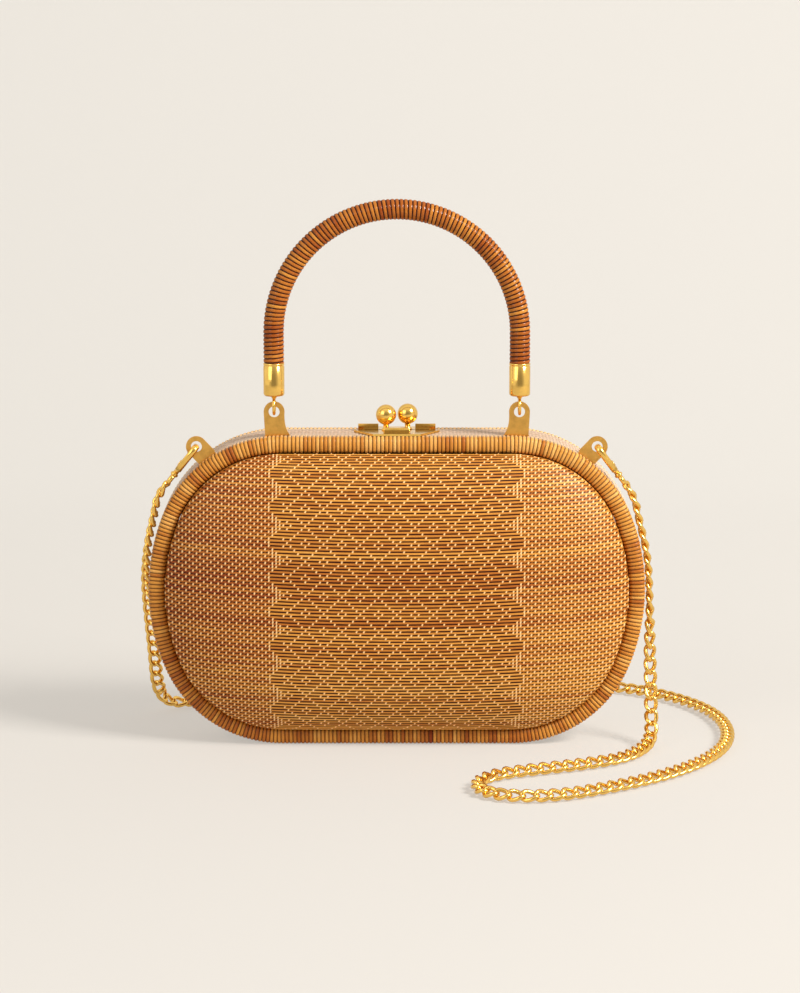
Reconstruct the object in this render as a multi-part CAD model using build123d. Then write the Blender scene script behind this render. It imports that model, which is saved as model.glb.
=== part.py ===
"""Woven reed box bag: two domed halves hinged at the bottom, an arched handle, a ball clasp and a strap.

Frame: +X to the right, +Y to the back, +Z up. The origin is on the floor, under the middle of the seam
between the two halves.
"""
from build123d import *
import math
import os

# Body outline, seen from the front
bag_width = 235.0
bag_height = 148.0
corner_radius = 60.0
side_turn = 22.2
half_depth = 18.0
seam_gap = 0.4

# Wrapped rim of each half
rim_width = 8.0
rim_depth = 7.0
wrap_height = 0.6
wraps_per_side = 30

# Woven panel of each half
panel_fit = 0.2
panel_wall = 2.2
panel_bulge = 21.0
panel_setback = 1.0
skirt_setback = 0.6
reed_height = 0.6
reed_width = 2.4
reed_rows = 12
row_spread = 70.0
dome_power = 2.6
dome_root = 0.6
plain_weave_shares = (0.62, 0.78, 0.92)
tied_weave_shares = (0.22, 0.46)
inner_rows = 4
inner_shares = (0.5, 0.8, 0.95)

# Lining of each half
lining_gap = 0.3
lining_wall = 0.8

# Stamped tabs
tab_thickness = 1.2
tab_head_radius = 4.9
tab_hole_radius = 2.6
tab_tang = 6.0
tab_tang_width = 9.0
tab_pocket_play = 0.1
handle_tab_rise = 11.0
handle_tab_flare = 7.5
handle_tab_foot = 4.3
flare_bow_share = 0.18
flare_bow_drop_share = 0.7
chain_tab_rise = 7.4
chain_tab_foot = 4.9
chain_tab_turn = 55.0
chain_tab_lean = 46.5

# Handle
handle_span = 115.2
handle_radius = 4.85
handle_top = 254.1
handle_wraps = 32
handle_sides = 8
handle_wrap_height = 0.5
ferrule_radius = 4.95
ferrule_height = 15.6
ferrule_chamfer = 0.8
ferrule_lift = 7.6
eye_inner_radius = 2.85
eye_wire = 1.5
eye_lift = 2.65
eye_neck_radius = 1.2
eye_sides = 12

# Kiss clasp
ball_radius = 4.85
ball_gap = 0.5
ball_lift = 8.4
ball_offset = 1.6
ball_steps = 9
ball_sides = 18
ball_top_share = 0.12
post_radius = 1.3
clasp_plate_thickness = 1.0
front_plate_length = 40.5
front_plate_depth = 13.5
front_plate_back = 1.0
front_plate_taper = 9.0
front_lug_length = 11.7
front_lug_height = 3.0
front_lug_y = 8.0
back_plate_length = 36.7
back_plate_depth = 10.0
back_plate_front = 0.5
back_plate_taper = 3.0
back_lug_length = 9.6
back_lug_height = 3.2
back_lug_y = 4.0

# Bottom hinge
hinge_length = 100.0
hinge_axis_lift = 1.5
knuckle_radius = 1.45
knuckle_play = 0.3
middle_knuckle_length = 40.0
hinge_pin_radius = 0.70
hinge_bore_play = 0.05
leaf_thickness = 0.9
leaf_height = 7.0
leaf_lift = 0.4
hinge_recess_depth = 2.0
hinge_recess_length = 140.0
hinge_recess_height = 11.0

# Snap hooks of the strap
hook_wall = 2.2
hook_inner_width = 5.1
hook_inner_length = 10.4
hook_base = 4.0
hook_thickness = 3.2
hook_chamfer = 2.0
gate_start = 5.6
gate_thickness = 1.8
gate_width = 1.8
gate_play = 0.2
gate_pivot = 11.6
gate_cheek = 1.4
gate_pin_radius = 0.6
gate_bore_play = 0.05
swivel_neck_radius = 1.3
swivel_neck_play = 0.05
swivel_neck_depth = 2.0
swivel_neck_rise = 1.5
swivel_eye_length = 5.5
swivel_eye_width = 6.4
swivel_eye_wall = 1.5
swivel_eye_thickness = 2.4
right_hook_drop = 53.0
left_hook_drop = 51.5

# Chain strap: a limp cord, its points chosen along the way it hangs and lies
chain_diameter = 6.0
chain_sides = 4
chain_fillet_share = 0.45
chain_lead = 7.0
chain_lift = 3.2
# Points of its way: out from the bag's side, in Y, and the share of the bag's height above the floor
right_chain_way = (
    (-1.8, -10.0, 0.702),
    (2.4, -10.6, 0.586),
    (3.8, -10.0, 0.446),
    (3.5, -9.4, 0.304),
    (3.3, -10.0, 0.19),
    (3.6, -12.5, 0.092),
    (3.4, -20.0, 0.02),
    (0.0, -33.0, 0),
    (-11.5, -54.0, 0),
    (-32.5, -66.5, 0),
    (-55.5, -76.0, 0),
    (-72.5, -84.0, 0),
    (-81.5, -97.0, 0),
    (-80.5, -113.0, 0),
    (-67.5, -122.5, 0),
    (-46.5, -121.5, 0),
    (-23.5, -108.0, 0),
    (-0.5, -90.0, 0),
    (20.5, -66.5, 0),
    (36.0, -37.0, 0),
    (42.0, -4.0, 0),
    (40.0, 27.0, 0),
    (31.0, 53.0, 0),
    (13.5, 77.0, 0),
    (-10.5, 93.0, 0),
    (-40.5, 104.0, 0),
    (-73.5, 110.0, 0),
    (-109.5, 111.0, 0),
)
left_chain_way = (
    (-88.5, 105.0, 0),
    (-55.5, 90.0, 0),
    (-30.0, 69.0, 0),
    (-12.0, 50.5, 0),
    (-3.0, 44.0, 0.026),
    (2.2, 39.0, 0.1),
    (4.1, 31.5, 0.22),
    (4.3, 21.0, 0.35),
    (4.1, 9.5, 0.485),
    (2.4, -2.0, 0.606),
    (-1.6, -8.5, 0.71),
)

# One overrun for all cuts
overrun = 1.0

# Worked-out places
seam_face = seam_gap / 2
rim_back = half_depth - rim_depth
tab_y = -(rim_back - tab_thickness / 2)
corner_z = bag_height / 2 - corner_radius
side_radius = corner_radius + corner_z / math.sin(math.radians(side_turn))
flat_half = (
    bag_width / 2
    - corner_radius * math.cos(math.radians(side_turn))
    - side_radius * (1 - math.cos(math.radians(side_turn)))
)
side_x = bag_width / 2 - side_radius
panel_inset = rim_width + panel_fit
lining_inset = panel_inset + panel_wall + lining_gap
handle_tab_x = handle_span / 2
eye_z = bag_height + handle_tab_rise + eye_lift
ferrule_z = bag_height + handle_tab_rise + ferrule_lift
grip_z = ferrule_z + ferrule_height
ball_x = ball_radius + ball_gap / 2
ball_z = bag_height + ball_lift
front_view = Plane((0, 0, bag_height / 2), x_dir=(1, 0, 0), z_dir=(0, -1, 0))


def outline(inset):
    """The bag's outline as a face in the seam plane, drawn in by an inset."""
    turn = math.radians(side_turn)
    half_turn = (turn + math.pi / 2) / 2
    radius = corner_radius - inset
    top = bag_height / 2 - inset
    side = bag_width / 2 - inset
    tangent = (flat_half + radius * math.cos(turn), corner_z + radius * math.sin(turn))
    middle = (flat_half + radius * math.cos(half_turn), corner_z + radius * math.sin(half_turn))
    edges = []
    for sx in (1, -1):
        for sz in (1, -1):
            edges.append(
                ThreePointArc(
                    (sx * flat_half, sz * top),
                    (sx * middle[0], sz * middle[1]),
                    (sx * tangent[0], sz * tangent[1]),
                )
            )
        edges.append(
            ThreePointArc(
                (sx * tangent[0], tangent[1]),
                (sx * side, 0),
                (sx * tangent[0], -tangent[1]),
            )
        )
    for sz in (1, -1):
        edges.append(Line((-flat_half, sz * top), (flat_half, sz * top)))
    return front_view * make_face(edges)


def slab(face, near, far):
    """A front-view face made solid between two distances in front of the seam."""
    return Pos(0, -near, 0) * extrude(face, far - near)


def half_width(height, inset):
    """Half the outline's width at a height above or below its middle."""
    height = abs(height)
    radius = corner_radius - inset
    if height <= corner_z + radius * math.sin(math.radians(side_turn)):
        return side_x + math.sqrt((side_radius - inset) ** 2 - height**2)
    return flat_half + math.sqrt(max(radius**2 - (height - corner_z) ** 2, 0))


def swell(share):
    """How far a dome stands out at a share of the way from its middle to its edge."""
    return max(1 - abs(share) ** dome_power, 0) ** dome_root


def facet_solid(rings):
    """A closed solid of flat facets through rings of points, all with as many points."""
    faces = [Face(Wire.make_polygon(rings[0])), Face(Wire.make_polygon(rings[-1]))]
    for lower, upper in zip(rings, rings[1:]):
        for k in range(len(lower)):
            faces.append(Face(Wire.make_polygon((lower[k - 1], lower[k], upper[k]))))
            faces.append(Face(Wire.make_polygon((lower[k - 1], upper[k], upper[k - 1]))))
    return Solid(Shell(faces))


def level_heights(count, inset):
    """Heights from the bottom to the top of a dome about its middle, closer together towards its ends."""
    spread = math.radians(row_spread)
    top = bag_height / 2 - inset
    return [top * math.sin(spread * (2 * i / count - 1)) / math.sin(spread) for i in range(count + 1)]


def plain_levels(inset):
    """The levels of a smooth dome, none of them on a reed."""
    return [(height, None) for height in level_heights(2 * inner_rows, inset)]


def reed_levels(inset):
    """The levels of a woven dome: each reed's lower foot, its crest with its number, its upper foot."""
    heights = level_heights(2 * reed_rows, inset)
    levels = [(heights[0], None)]
    for row, height in enumerate(heights[1::2]):
        levels += [(height - reed_width / 2, None), (height, row), (height + reed_width / 2, None)]
    return [*levels, (heights[-1], None)]


def reed_lift(row, k, share):
    """How far a reed stands out: whole where it is tied, over and under by turns in the plain weave."""
    if row is None or abs(share) == 1:
        return 0
    over = abs(share) <= max(tied_weave_shares) or (row + k) % 2
    return reed_height if over else 0


def dome(inset, base, back, levels, right):
    """A closed dome over the outline, of flat facets from level to level."""
    shares = (-1, *(-share for share in reversed(right)), 0, *right, 1)
    top = bag_height / 2 - inset
    rings = []
    for height, row in levels:
        wide = half_width(height, inset)
        bulge = panel_bulge * swell(height / top)
        z = bag_height / 2 + height
        ring = [Vector(-wide, -back, z)]
        for k, share in enumerate(shares):
            out = base + bulge * swell(share) + reed_lift(row, k, share)
            ring.append(Vector(wide * share, -out, z))
        ring.append(Vector(wide, -back, z))
        rings.append(ring)
    return facet_solid(rings)


def hollow_dome(inset, base, wall, levels, right):
    """A dome of one wall, smooth inside and open at the seam."""
    outer = dome(inset, base, skirt_setback, levels, right)
    within = inset + wall
    return outer - dome(within, base - wall, skirt_setback - overrun, plain_levels(within), inner_shares)


def panel():
    """The woven panel, its reeds standing up as ridges, with a skirt inside the hoop down to the seam."""
    shares = (*tied_weave_shares, *plain_weave_shares)
    base = half_depth - panel_setback
    return hollow_dome(panel_inset, base, panel_wall, reed_levels(panel_inset), shares)


def lining():
    """The cloth tray inside the panel."""
    base = half_depth - panel_setback - panel_wall - lining_gap
    return hollow_dome(lining_inset, base, lining_wall, plain_levels(lining_inset), inner_shares)


def rim_station(distance):
    """Place and outward direction on the outline, a distance along it from the middle of the top."""
    turn = math.radians(side_turn)
    corner_length = corner_radius * (math.pi / 2 - turn)
    side_length = side_radius * 2 * turn
    half_length = 2 * flat_half + 2 * corner_length + side_length
    below = distance > half_length / 2
    along = half_length - distance if below else distance
    if along <= flat_half:
        x, z, angle = along, corner_z + corner_radius, math.pi / 2
    elif along <= flat_half + corner_length:
        angle = math.pi / 2 - (along - flat_half) / corner_radius
        x = flat_half + corner_radius * math.cos(angle)
        z = corner_z + corner_radius * math.sin(angle)
    else:
        angle = (half_length / 2 - along) / side_radius
        x = side_x + side_radius * math.cos(angle)
        z = side_radius * math.sin(angle)
    sign = -1 if below else 1
    return x, sign * z, math.cos(angle), sign * math.sin(angle), half_length


def rim():
    """The hoop wrapped in reed: ridge and groove sections by turns round one side, then mirrored."""
    half_length = rim_station(0)[4]
    steps = 2 * wraps_per_side
    rings = []
    for i in range(steps + 1):
        x, z, nx, nz, _ = rim_station(half_length * i / steps)
        sink = wrap_height if i % 2 == 0 else 0
        corners = (
            (sink, rim_back),
            (sink, half_depth - sink),
            (rim_width, half_depth - sink),
            (rim_width, rim_back),
        )
        middle_z = bag_height / 2 + z
        rings.append([Vector(x - nx * inset, -out, middle_z - nz * inset) for inset, out in corners])
    side = facet_solid(rings)
    return side + mirror(side, Plane.YZ)


def band():
    """The flat side of the hoop, from the rim to the seam, cut back along the bottom for the hinge."""
    hoop = slab(outline(0) - outline(rim_width), seam_face, rim_back)
    recess_align = (Align.CENTER, Align.MAX, Align.CENTER)
    recess = Box(hinge_recess_length, hinge_recess_depth, 2 * hinge_recess_height, align=recess_align)
    return hoop - recess


def tab_blank(rise, foot, flare, play=0):
    """A tab's profile without its hole, grown by a play: round head at the origin, tang below."""
    head = tab_head_radius + play
    bow = (head - flare_bow_share * (flare - tab_head_radius), -flare_bow_drop_share * rise)
    edges = [
        ThreePointArc((-head, 0), (0, head), (head, 0)),
        Bezier((head, 0), bow, (flare + play, -rise)),
        Line((flare + play, -rise), (-foot - play, -rise)),
        Line((-foot - play, -rise), (-head, 0)),
    ]
    tang = Rectangle(tab_tang_width + 2 * play, tab_tang + play, align=(Align.CENTER, Align.MAX))
    return make_face(edges) + Pos(0, -rise) * tang


def handle_tab_place(side):
    """Where the head of a handle tab stands in the front view, with its flare towards the middle."""
    head = (side * handle_tab_x, 0, bag_height + handle_tab_rise)
    return Plane(head, x_dir=(-side, 0, 0), z_dir=(0, side, 0))


def chain_tab_hole(side):
    """The hole of a chain tab: its place in X and Z, out from the shoulder along the tab's lean."""
    turn = math.radians(chain_tab_turn)
    lean = math.radians(chain_tab_lean)
    x = flat_half + corner_radius * math.cos(turn) + chain_tab_rise * math.cos(lean)
    z = bag_height / 2 + corner_z + corner_radius * math.sin(turn) + chain_tab_rise * math.sin(lean)
    return side * x, z


def chain_tab_place(side):
    """Where the head of a chain tab leans out from a shoulder in the front view."""
    lean = math.radians(chain_tab_lean)
    x, z = chain_tab_hole(side)
    return Plane((x, 0, z), x_dir=(-side * math.sin(lean), 0, math.cos(lean)), z_dir=(0, side, 0))


def tab_slab(face, side, near, far):
    """A tab's face made solid between two distances in front of the seam."""
    return Pos(0, -far if side > 0 else -near, 0) * extrude(face, far - near)


def tab(place, sizes, side):
    """A stamped tab, with its hole, in the gap between rim and band."""
    face = tab_blank(*sizes) - Circle(tab_hole_radius)
    return tab_slab(place * face, side, rim_back - tab_thickness, rim_back)


def tab_pocket(place, sizes, side):
    """The pocket in the band for a tab's tang, open towards the rim."""
    face = tab_blank(*sizes, play=tab_pocket_play)
    return tab_slab(place * face, side, rim_back - tab_thickness - tab_pocket_play, rim_back + overrun)


def grip():
    """The arched handle: ridge and groove rings by turns, from one ferrule to the other."""
    arch_radius = handle_tab_x
    arch_z = handle_top - arch_radius
    leg = arch_z - grip_z
    length = 2 * leg + math.pi * arch_radius
    steps = 2 * handle_wraps
    rings = []
    for i in range(steps + 1):
        along = length * i / steps
        angle = min(max((along - leg) / arch_radius, 0), math.pi)
        down = max(leg - along, along - length + leg, 0)
        radius = handle_radius - (handle_wrap_height if i % 2 == 0 else 0)
        ring = []
        for k in range(handle_sides):
            round_angle = 2 * math.pi * k / handle_sides
            reach = arch_radius + radius * math.cos(round_angle)
            y = tab_y + radius * math.sin(round_angle)
            ring.append(Vector(-reach * math.cos(angle), y, arch_z - down + reach * math.sin(angle)))
        rings.append(ring)
    return facet_solid(rings)


def ferrule(side):
    """Brass end cap under one leg of the handle."""
    cap = Cylinder(ferrule_radius, ferrule_height, align=(Align.CENTER, Align.CENTER, Align.MIN))
    cap = chamfer(cap.edges().sort_by(Axis.Z)[0], ferrule_chamfer)
    return Pos(side * handle_tab_x, tab_y, ferrule_z) * cap


def eye(side):
    """Brass eye under a ferrule, in the plane across the bag, through the hole of the handle tab."""
    outer = RegularPolygon(eye_inner_radius + eye_wire, eye_sides)
    inner = RegularPolygon(eye_inner_radius, eye_sides)
    ring = extrude(Plane.YZ * (outer - inner), eye_wire / 2, both=True)
    neck_foot = eye_inner_radius + eye_wire / 2
    low = (Align.CENTER, Align.CENTER, Align.MIN)
    neck = Pos(0, 0, neck_foot) * Cylinder(eye_neck_radius, ferrule_z - eye_z - neck_foot, align=low)
    return Pos(side * handle_tab_x, tab_y, eye_z) * (ring + neck)


def clasp_ball(side, y):
    """A ball of the kiss clasp on its post, one turned piece standing on its plate."""
    post_foot = bag_height + clasp_plate_thickness
    profile = [(post_radius, post_foot)]
    post_angle = math.asin(post_radius / ball_radius)
    top_angle = math.pi - math.asin(ball_top_share)
    for i in range(ball_steps + 1):
        angle = post_angle + (top_angle - post_angle) * i / ball_steps
        profile.append((ball_radius * math.sin(angle), ball_z - ball_radius * math.cos(angle)))
    turns = [2 * math.pi * k / ball_sides for k in range(ball_sides)]
    x = side * ball_x
    rings = [[Vector(x + r * math.cos(t), y + r * math.sin(t), z) for t in turns] for r, z in profile]
    return facet_solid(rings)


def clasp_plate(length, depth, taper, near_y, lugs):
    """A plate of the kiss clasp on top of the bag, tapered to its near edge, with lugs bent up from it."""
    near = length / 2 - taper
    far_y = near_y + depth
    corners = ((-near, near_y), (near, near_y), (length / 2, far_y), (-length / 2, far_y))
    face = make_face(Polyline(*corners, close=True))
    plate = Pos(0, 0, bag_height) * extrude(face, clasp_plate_thickness)
    low = (Align.CENTER, Align.MIN, Align.MIN)
    for x, y, lug_length, lug_height in lugs:
        lug = Box(lug_length, clasp_plate_thickness, lug_height, align=low)
        plate = plate + Pos(x, y, bag_height) * lug
    return plate


def knuckle(near, far):
    """A knuckle of the hinge between two places in X, bored for the pin."""
    tube = Circle(knuckle_radius) - Circle(hinge_pin_radius + hinge_bore_play)
    return Pos(near, 0, hinge_axis_lift) * extrude(Plane.YZ * tube, far - near)


def knuckle_room(near, far):
    """The room that a leaf leaves for the other leaf's knuckle."""
    room = extrude(Plane.YZ * Circle(knuckle_radius + knuckle_play), far - near + 2 * knuckle_play)
    return Pos(near - knuckle_play, 0, hinge_axis_lift) * room


def hinge_leaf(own, other):
    """The front leaf of the hinge: a plate on the cut-back edge of the band, with its knuckles."""
    low = (Align.CENTER, Align.MIN, Align.MIN)
    plate = Box(hinge_length, leaf_thickness, leaf_height, align=low)
    leaf = Pos(0, -hinge_recess_depth, leaf_lift) * plate
    for near, far in other:
        leaf = leaf - knuckle_room(near, far)
    for near, far in own:
        bore = extrude(Plane.YZ * Circle(hinge_pin_radius + hinge_bore_play), far - near)
        leaf = leaf - Pos(near, 0, hinge_axis_lift) * bore + knuckle(near, far)
    return leaf


def hook_place(side, drop):
    """Where a snap hook hangs in the hole of its chain tab: its length along X, the bag's depth in Y."""
    angle = math.radians(drop)
    x, z = chain_tab_hole(side)
    along = (side * math.cos(angle), 0, -math.sin(angle))
    return Plane((x, tab_y, z), x_dir=along, z_dir=(math.sin(angle), 0, side * math.cos(angle)))


hook_half = hook_inner_width / 2 + hook_wall
hook_end = hook_wall / 2 + hook_inner_length + hook_base
gate_line = hook_half - hook_wall / 2
swivel_end = hook_end + swivel_neck_rise + swivel_eye_length


def hook():
    """A snap hook along +X, its bill at the origin, with the riveted pin of its gate on the +Y side."""
    align_low = (Align.MIN, Align.CENTER)
    body = Pos(-hook_wall / 2, 0) * Rectangle(hook_end + hook_wall / 2, 2 * hook_half, align=align_low)
    body = chamfer(body.vertices(), hook_chamfer)
    space = Pos(hook_wall / 2, 0) * Rectangle(hook_inner_length, hook_inner_width, align=align_low)
    space = chamfer(space.vertices(), hook_chamfer / 2)
    corner = (Align.MIN, Align.MIN)
    mouth_length = gate_pivot - gate_cheek - gate_start
    mouth = Pos(gate_start, hook_inner_width / 2 - overrun)
    mouth = mouth * Rectangle(mouth_length, 2 * hook_wall, align=corner)
    solid = extrude(body - space - mouth, hook_thickness / 2, both=True)
    slot_length = 2 * gate_cheek + gate_play
    slot = Pos(gate_pivot - gate_cheek, hook_inner_width / 2 - gate_play - overrun)
    slot = slot * Rectangle(slot_length, 2 * hook_wall + overrun, align=corner)
    solid = solid - extrude(slot, gate_thickness / 2 + gate_play, both=True)
    pin = Pos(gate_pivot, gate_line) * Circle(gate_pin_radius)
    solid = solid + extrude(pin, gate_thickness / 2 + gate_play, both=True)
    high = (Align.CENTER, Align.CENTER, Align.MAX)
    neck_bore = Cylinder(swivel_neck_radius + swivel_neck_play, swivel_neck_depth, align=high)
    return solid - Pos(hook_end, 0, 0) * Rot(0, 90, 0) * neck_bore


def gate():
    """The gate that closes a snap hook, turning on its pin."""
    start = gate_start + gate_play
    length = gate_pivot + gate_cheek - gate_play - start
    blade = Pos(start, gate_line) * Rectangle(length, gate_width, align=(Align.MIN, Align.CENTER))
    bore = Pos(gate_pivot, gate_line) * Circle(gate_pin_radius + gate_bore_play)
    return extrude(blade - bore, gate_thickness / 2, both=True)


def swivel():
    """The swivel at a hook's end: a neck in the hook's bore and a flat-ended eye for the chain."""
    low = (Align.CENTER, Align.CENTER, Align.MIN)
    neck_length = swivel_neck_depth + swivel_neck_rise + swivel_eye_wall / 2
    neck = Cylinder(swivel_neck_radius, neck_length, align=low)
    neck = Pos(hook_end - swivel_neck_depth, 0, 0) * Rot(0, 90, 0) * neck
    frame = Rectangle(swivel_eye_length, swivel_eye_width)
    opening = Rectangle(swivel_eye_length - 2 * swivel_eye_wall, swivel_eye_width - 2 * swivel_eye_wall)
    eye_frame = extrude(frame - opening, swivel_eye_thickness / 2, both=True)
    return neck + Pos(swivel_end - swivel_eye_length / 2, 0, 0) * eye_frame


def chain_route():
    """The strap's way: down from the right hook, in a loop on the floor, behind the bag, up on the left."""
    ends = []
    for side, drop in ((1, right_hook_drop), (-1, left_hook_drop)):
        place = hook_place(side, drop)
        ends.append([place.from_local_coords((swivel_end + out, 0, 0)) for out in (0, chain_lead)])
    points = []
    for side, way in ((1, right_chain_way), (-1, left_chain_way)):
        for out, y, height_share in way:
            points.append(Vector(side * (bag_width / 2 + out), y, chain_lift + height_share * bag_height))
    return [*ends[0], *points, *reversed(ends[1])]


def chain():
    """The curb chain as one plain bar: straight runs joined by arcs as wide as the runs allow."""
    route = chain_route()
    radii = []
    for before, here, after in zip(route, route[1:], route[2:]):
        turn = math.radians((here - before).get_angle(after - here))
        shorter = min((here - before).length, (after - here).length)
        radii.append(chain_fillet_share * shorter / math.tan(turn / 2))
    path = FilletPolyline(*route, radius=radii)
    section = Plane(path @ 0, z_dir=path % 0) * RegularPolygon(chain_diameter / 2, chain_sides)
    bar = sweep(section, path=path)
    print("chain radii", [round(radius) for radius in radii])
    ratio = bar.volume / (section.area * path.length)
    print("chain length", round(path.length, 1), "volume ratio", round(ratio, 4))
    return bar


parts = {}
back = Plane.XZ
tabs = {}
for side, word in ((-1, "left"), (1, "right")):
    handle_sizes = (handle_tab_rise, handle_tab_foot, handle_tab_flare)
    chain_sizes = (chain_tab_rise, chain_tab_foot, chain_tab_foot)
    tabs[f"handle_tab_{word}"] = (handle_tab_place(side), handle_sizes, side)
    tabs[f"chain_tab_{word}"] = (chain_tab_place(side), chain_sizes, side)

# The two halves
plain_band = band()
parts["front_panel"] = panel()
parts["front_rim"] = rim()
parts["front_lining"] = lining()
parts["front_band"] = plain_band
for half in ("panel", "rim", "lining", "band"):
    parts[f"back_{half}"] = mirror(parts[f"front_{half}"], back)
for name, (place, sizes, side) in tabs.items():
    parts["front_band"] = parts["front_band"] - tab_pocket(place, sizes, side)
    parts[name] = tab(place, sizes, side)

# Hinge
half_hinge = hinge_length / 2
half_middle = middle_knuckle_length / 2
middle = [(-half_middle, half_middle)]
ends = [(-half_hinge, -half_middle - knuckle_play), (half_middle + knuckle_play, half_hinge)]
pin = extrude(Plane.YZ * Circle(hinge_pin_radius), half_hinge, both=True)
parts["hinge_front_leaf"] = hinge_leaf(ends, middle)
parts["hinge_back_leaf"] = mirror(hinge_leaf(middle, ends), back)
parts["hinge_pin"] = Pos(0, 0, hinge_axis_lift) * pin

# Clasp
front_lugs = [(0, -front_lug_y, front_lug_length, front_lug_height)]
back_lug_x = (back_plate_length - back_lug_length) / 2
back_lugs = [(side * back_lug_x, back_lug_y, back_lug_length, back_lug_height) for side in (-1, 1)]
front_near = -front_plate_back - front_plate_depth
parts["clasp_front_plate"] = clasp_plate(
    front_plate_length, front_plate_depth, front_plate_taper, front_near, front_lugs
)
parts["clasp_back_plate"] = clasp_plate(
    back_plate_length, back_plate_depth, back_plate_taper, back_plate_front, back_lugs
)
parts["clasp_front_ball"] = clasp_ball(-1, -ball_offset)
parts["clasp_back_ball"] = clasp_ball(1, ball_offset)

# Handle
parts["handle_grip"] = grip()
for side, word in ((-1, "left"), (1, "right")):
    parts[f"ferrule_{word}"] = ferrule(side)
    parts[f"eye_{word}"] = eye(side)

# Strap
for side, drop, word in ((-1, left_hook_drop, "left"), (1, right_hook_drop, "right")):
    place = hook_place(side, drop)
    parts[f"clip_{word}_hook"] = place * hook()
    parts[f"clip_{word}_gate"] = place * gate()
    parts[f"clip_{word}_swivel"] = place * swivel()
parts["chain_strap"] = chain()

os.makedirs("parts", exist_ok=True)
for name, shape in parts.items():
    export_step(shape, f"parts/{name}.step")
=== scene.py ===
"""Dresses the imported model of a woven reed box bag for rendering."""

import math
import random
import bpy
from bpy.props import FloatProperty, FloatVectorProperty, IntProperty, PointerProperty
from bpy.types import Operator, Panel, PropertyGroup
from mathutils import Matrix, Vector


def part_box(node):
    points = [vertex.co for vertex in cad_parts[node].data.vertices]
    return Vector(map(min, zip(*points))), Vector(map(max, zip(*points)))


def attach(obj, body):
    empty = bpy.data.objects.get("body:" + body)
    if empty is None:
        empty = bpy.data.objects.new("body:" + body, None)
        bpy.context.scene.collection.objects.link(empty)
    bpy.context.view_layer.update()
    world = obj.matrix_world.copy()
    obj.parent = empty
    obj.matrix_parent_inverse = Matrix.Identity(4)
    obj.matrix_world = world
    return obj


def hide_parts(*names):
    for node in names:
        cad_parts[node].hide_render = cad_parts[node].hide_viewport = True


bl_info = {
    "name": "Basket Box Bag",
    "version": (1, 0, 0),
    "blender": (4, 5, 0),
    "location": "3D View > Sidebar > Basket Bag",
    "description": "Woven panels, wrapped rims and handle, brass fittings and chain strap of a reed box bag",
    "category": "Object",
}

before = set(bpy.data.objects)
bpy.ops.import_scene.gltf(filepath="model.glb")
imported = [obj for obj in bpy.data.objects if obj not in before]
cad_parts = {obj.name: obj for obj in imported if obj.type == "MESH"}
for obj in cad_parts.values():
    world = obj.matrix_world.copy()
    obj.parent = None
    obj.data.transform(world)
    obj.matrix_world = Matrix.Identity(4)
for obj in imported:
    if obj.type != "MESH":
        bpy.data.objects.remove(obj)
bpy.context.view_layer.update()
band_low, band_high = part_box("front_band")
rim_low, rim_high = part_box("front_rim")
grip_low, grip_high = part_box("handle_grip")
# The bag's main sizes, in metres; the depths are from the seam to the front and the back of the rim
BAG_WIDTH = 0.235
BAG_HEIGHT = band_high[2] - band_low[2]
HALF_DEPTH = -rim_low[1]
RIM_BACK = -rim_high[1]
TAB_Y = (grip_low[1] + grip_high[1]) / 2


def tone(red, green, blue):
    """A screen colour, 0 to 255, as the linear colour that the shaders take."""
    linear = []
    for value in (red, green, blue):
        share = value / 255
        linear.append(share / 12.92 if share <= 0.04045 else ((share + 0.055) / 1.055) ** 2.4)
    return tuple(linear)


def length(name, description, default):
    """A length in metres for a settings group."""
    return FloatProperty(
        name=name, description=description, default=default, min=0, unit="LENGTH", precision=5
    )


def tilt(name, description, degrees):
    """An angle, given in degrees, for a settings group."""
    return FloatProperty(name=name, description=description, default=math.radians(degrees), subtype="ANGLE")


def number(name, description, default, least=0):
    """A plain number for a settings group."""
    return FloatProperty(name=name, description=description, default=default, min=least)


def power(name, description, default):
    """A lamp's power in watts for a settings group."""
    return FloatProperty(name=name, description=description, default=default, min=0, unit="POWER")


def colour(name, description, default):
    """A colour for a settings group."""
    return FloatVectorProperty(
        name=name, description=description, default=default, subtype="COLOR", min=0, max=1
    )


class OutlineSettings(PropertyGroup):
    corner_radius: length("Corner radius", "Radius of the bag's rounded corners", 0.060)
    side_turn: tilt("Side turn", "Half the angle that each bowed side turns", 22.2)
    rim_width: length("Rim width", "Width of the wrapped rim", 0.008)
    panel_inset: length("Panel inset", "From the outline to the edge of the panel", 0.0082)
    panel_edge: length("Panel edge", "From the seam to the edge of the panel", 0.0182)
    panel_bulge: length("Panel bulge", "How far the panel swells out", 0.0198)
    dome_power: number("Dome power", "How flat the panel's middle is", 2.6, 1)
    dome_root: number("Dome root", "How steep the panel's edge is", 0.6, 0.1)
    panel_wall: length("Panel wall", "Thickness of the panel", 0.0022)
    skirt_edge: length("Skirt edge", "From the middle of the seam to the panel's skirt", 0.0006)
    seam_face: length("Seam face", "From the middle of the seam to a band", 0.0002)


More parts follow.
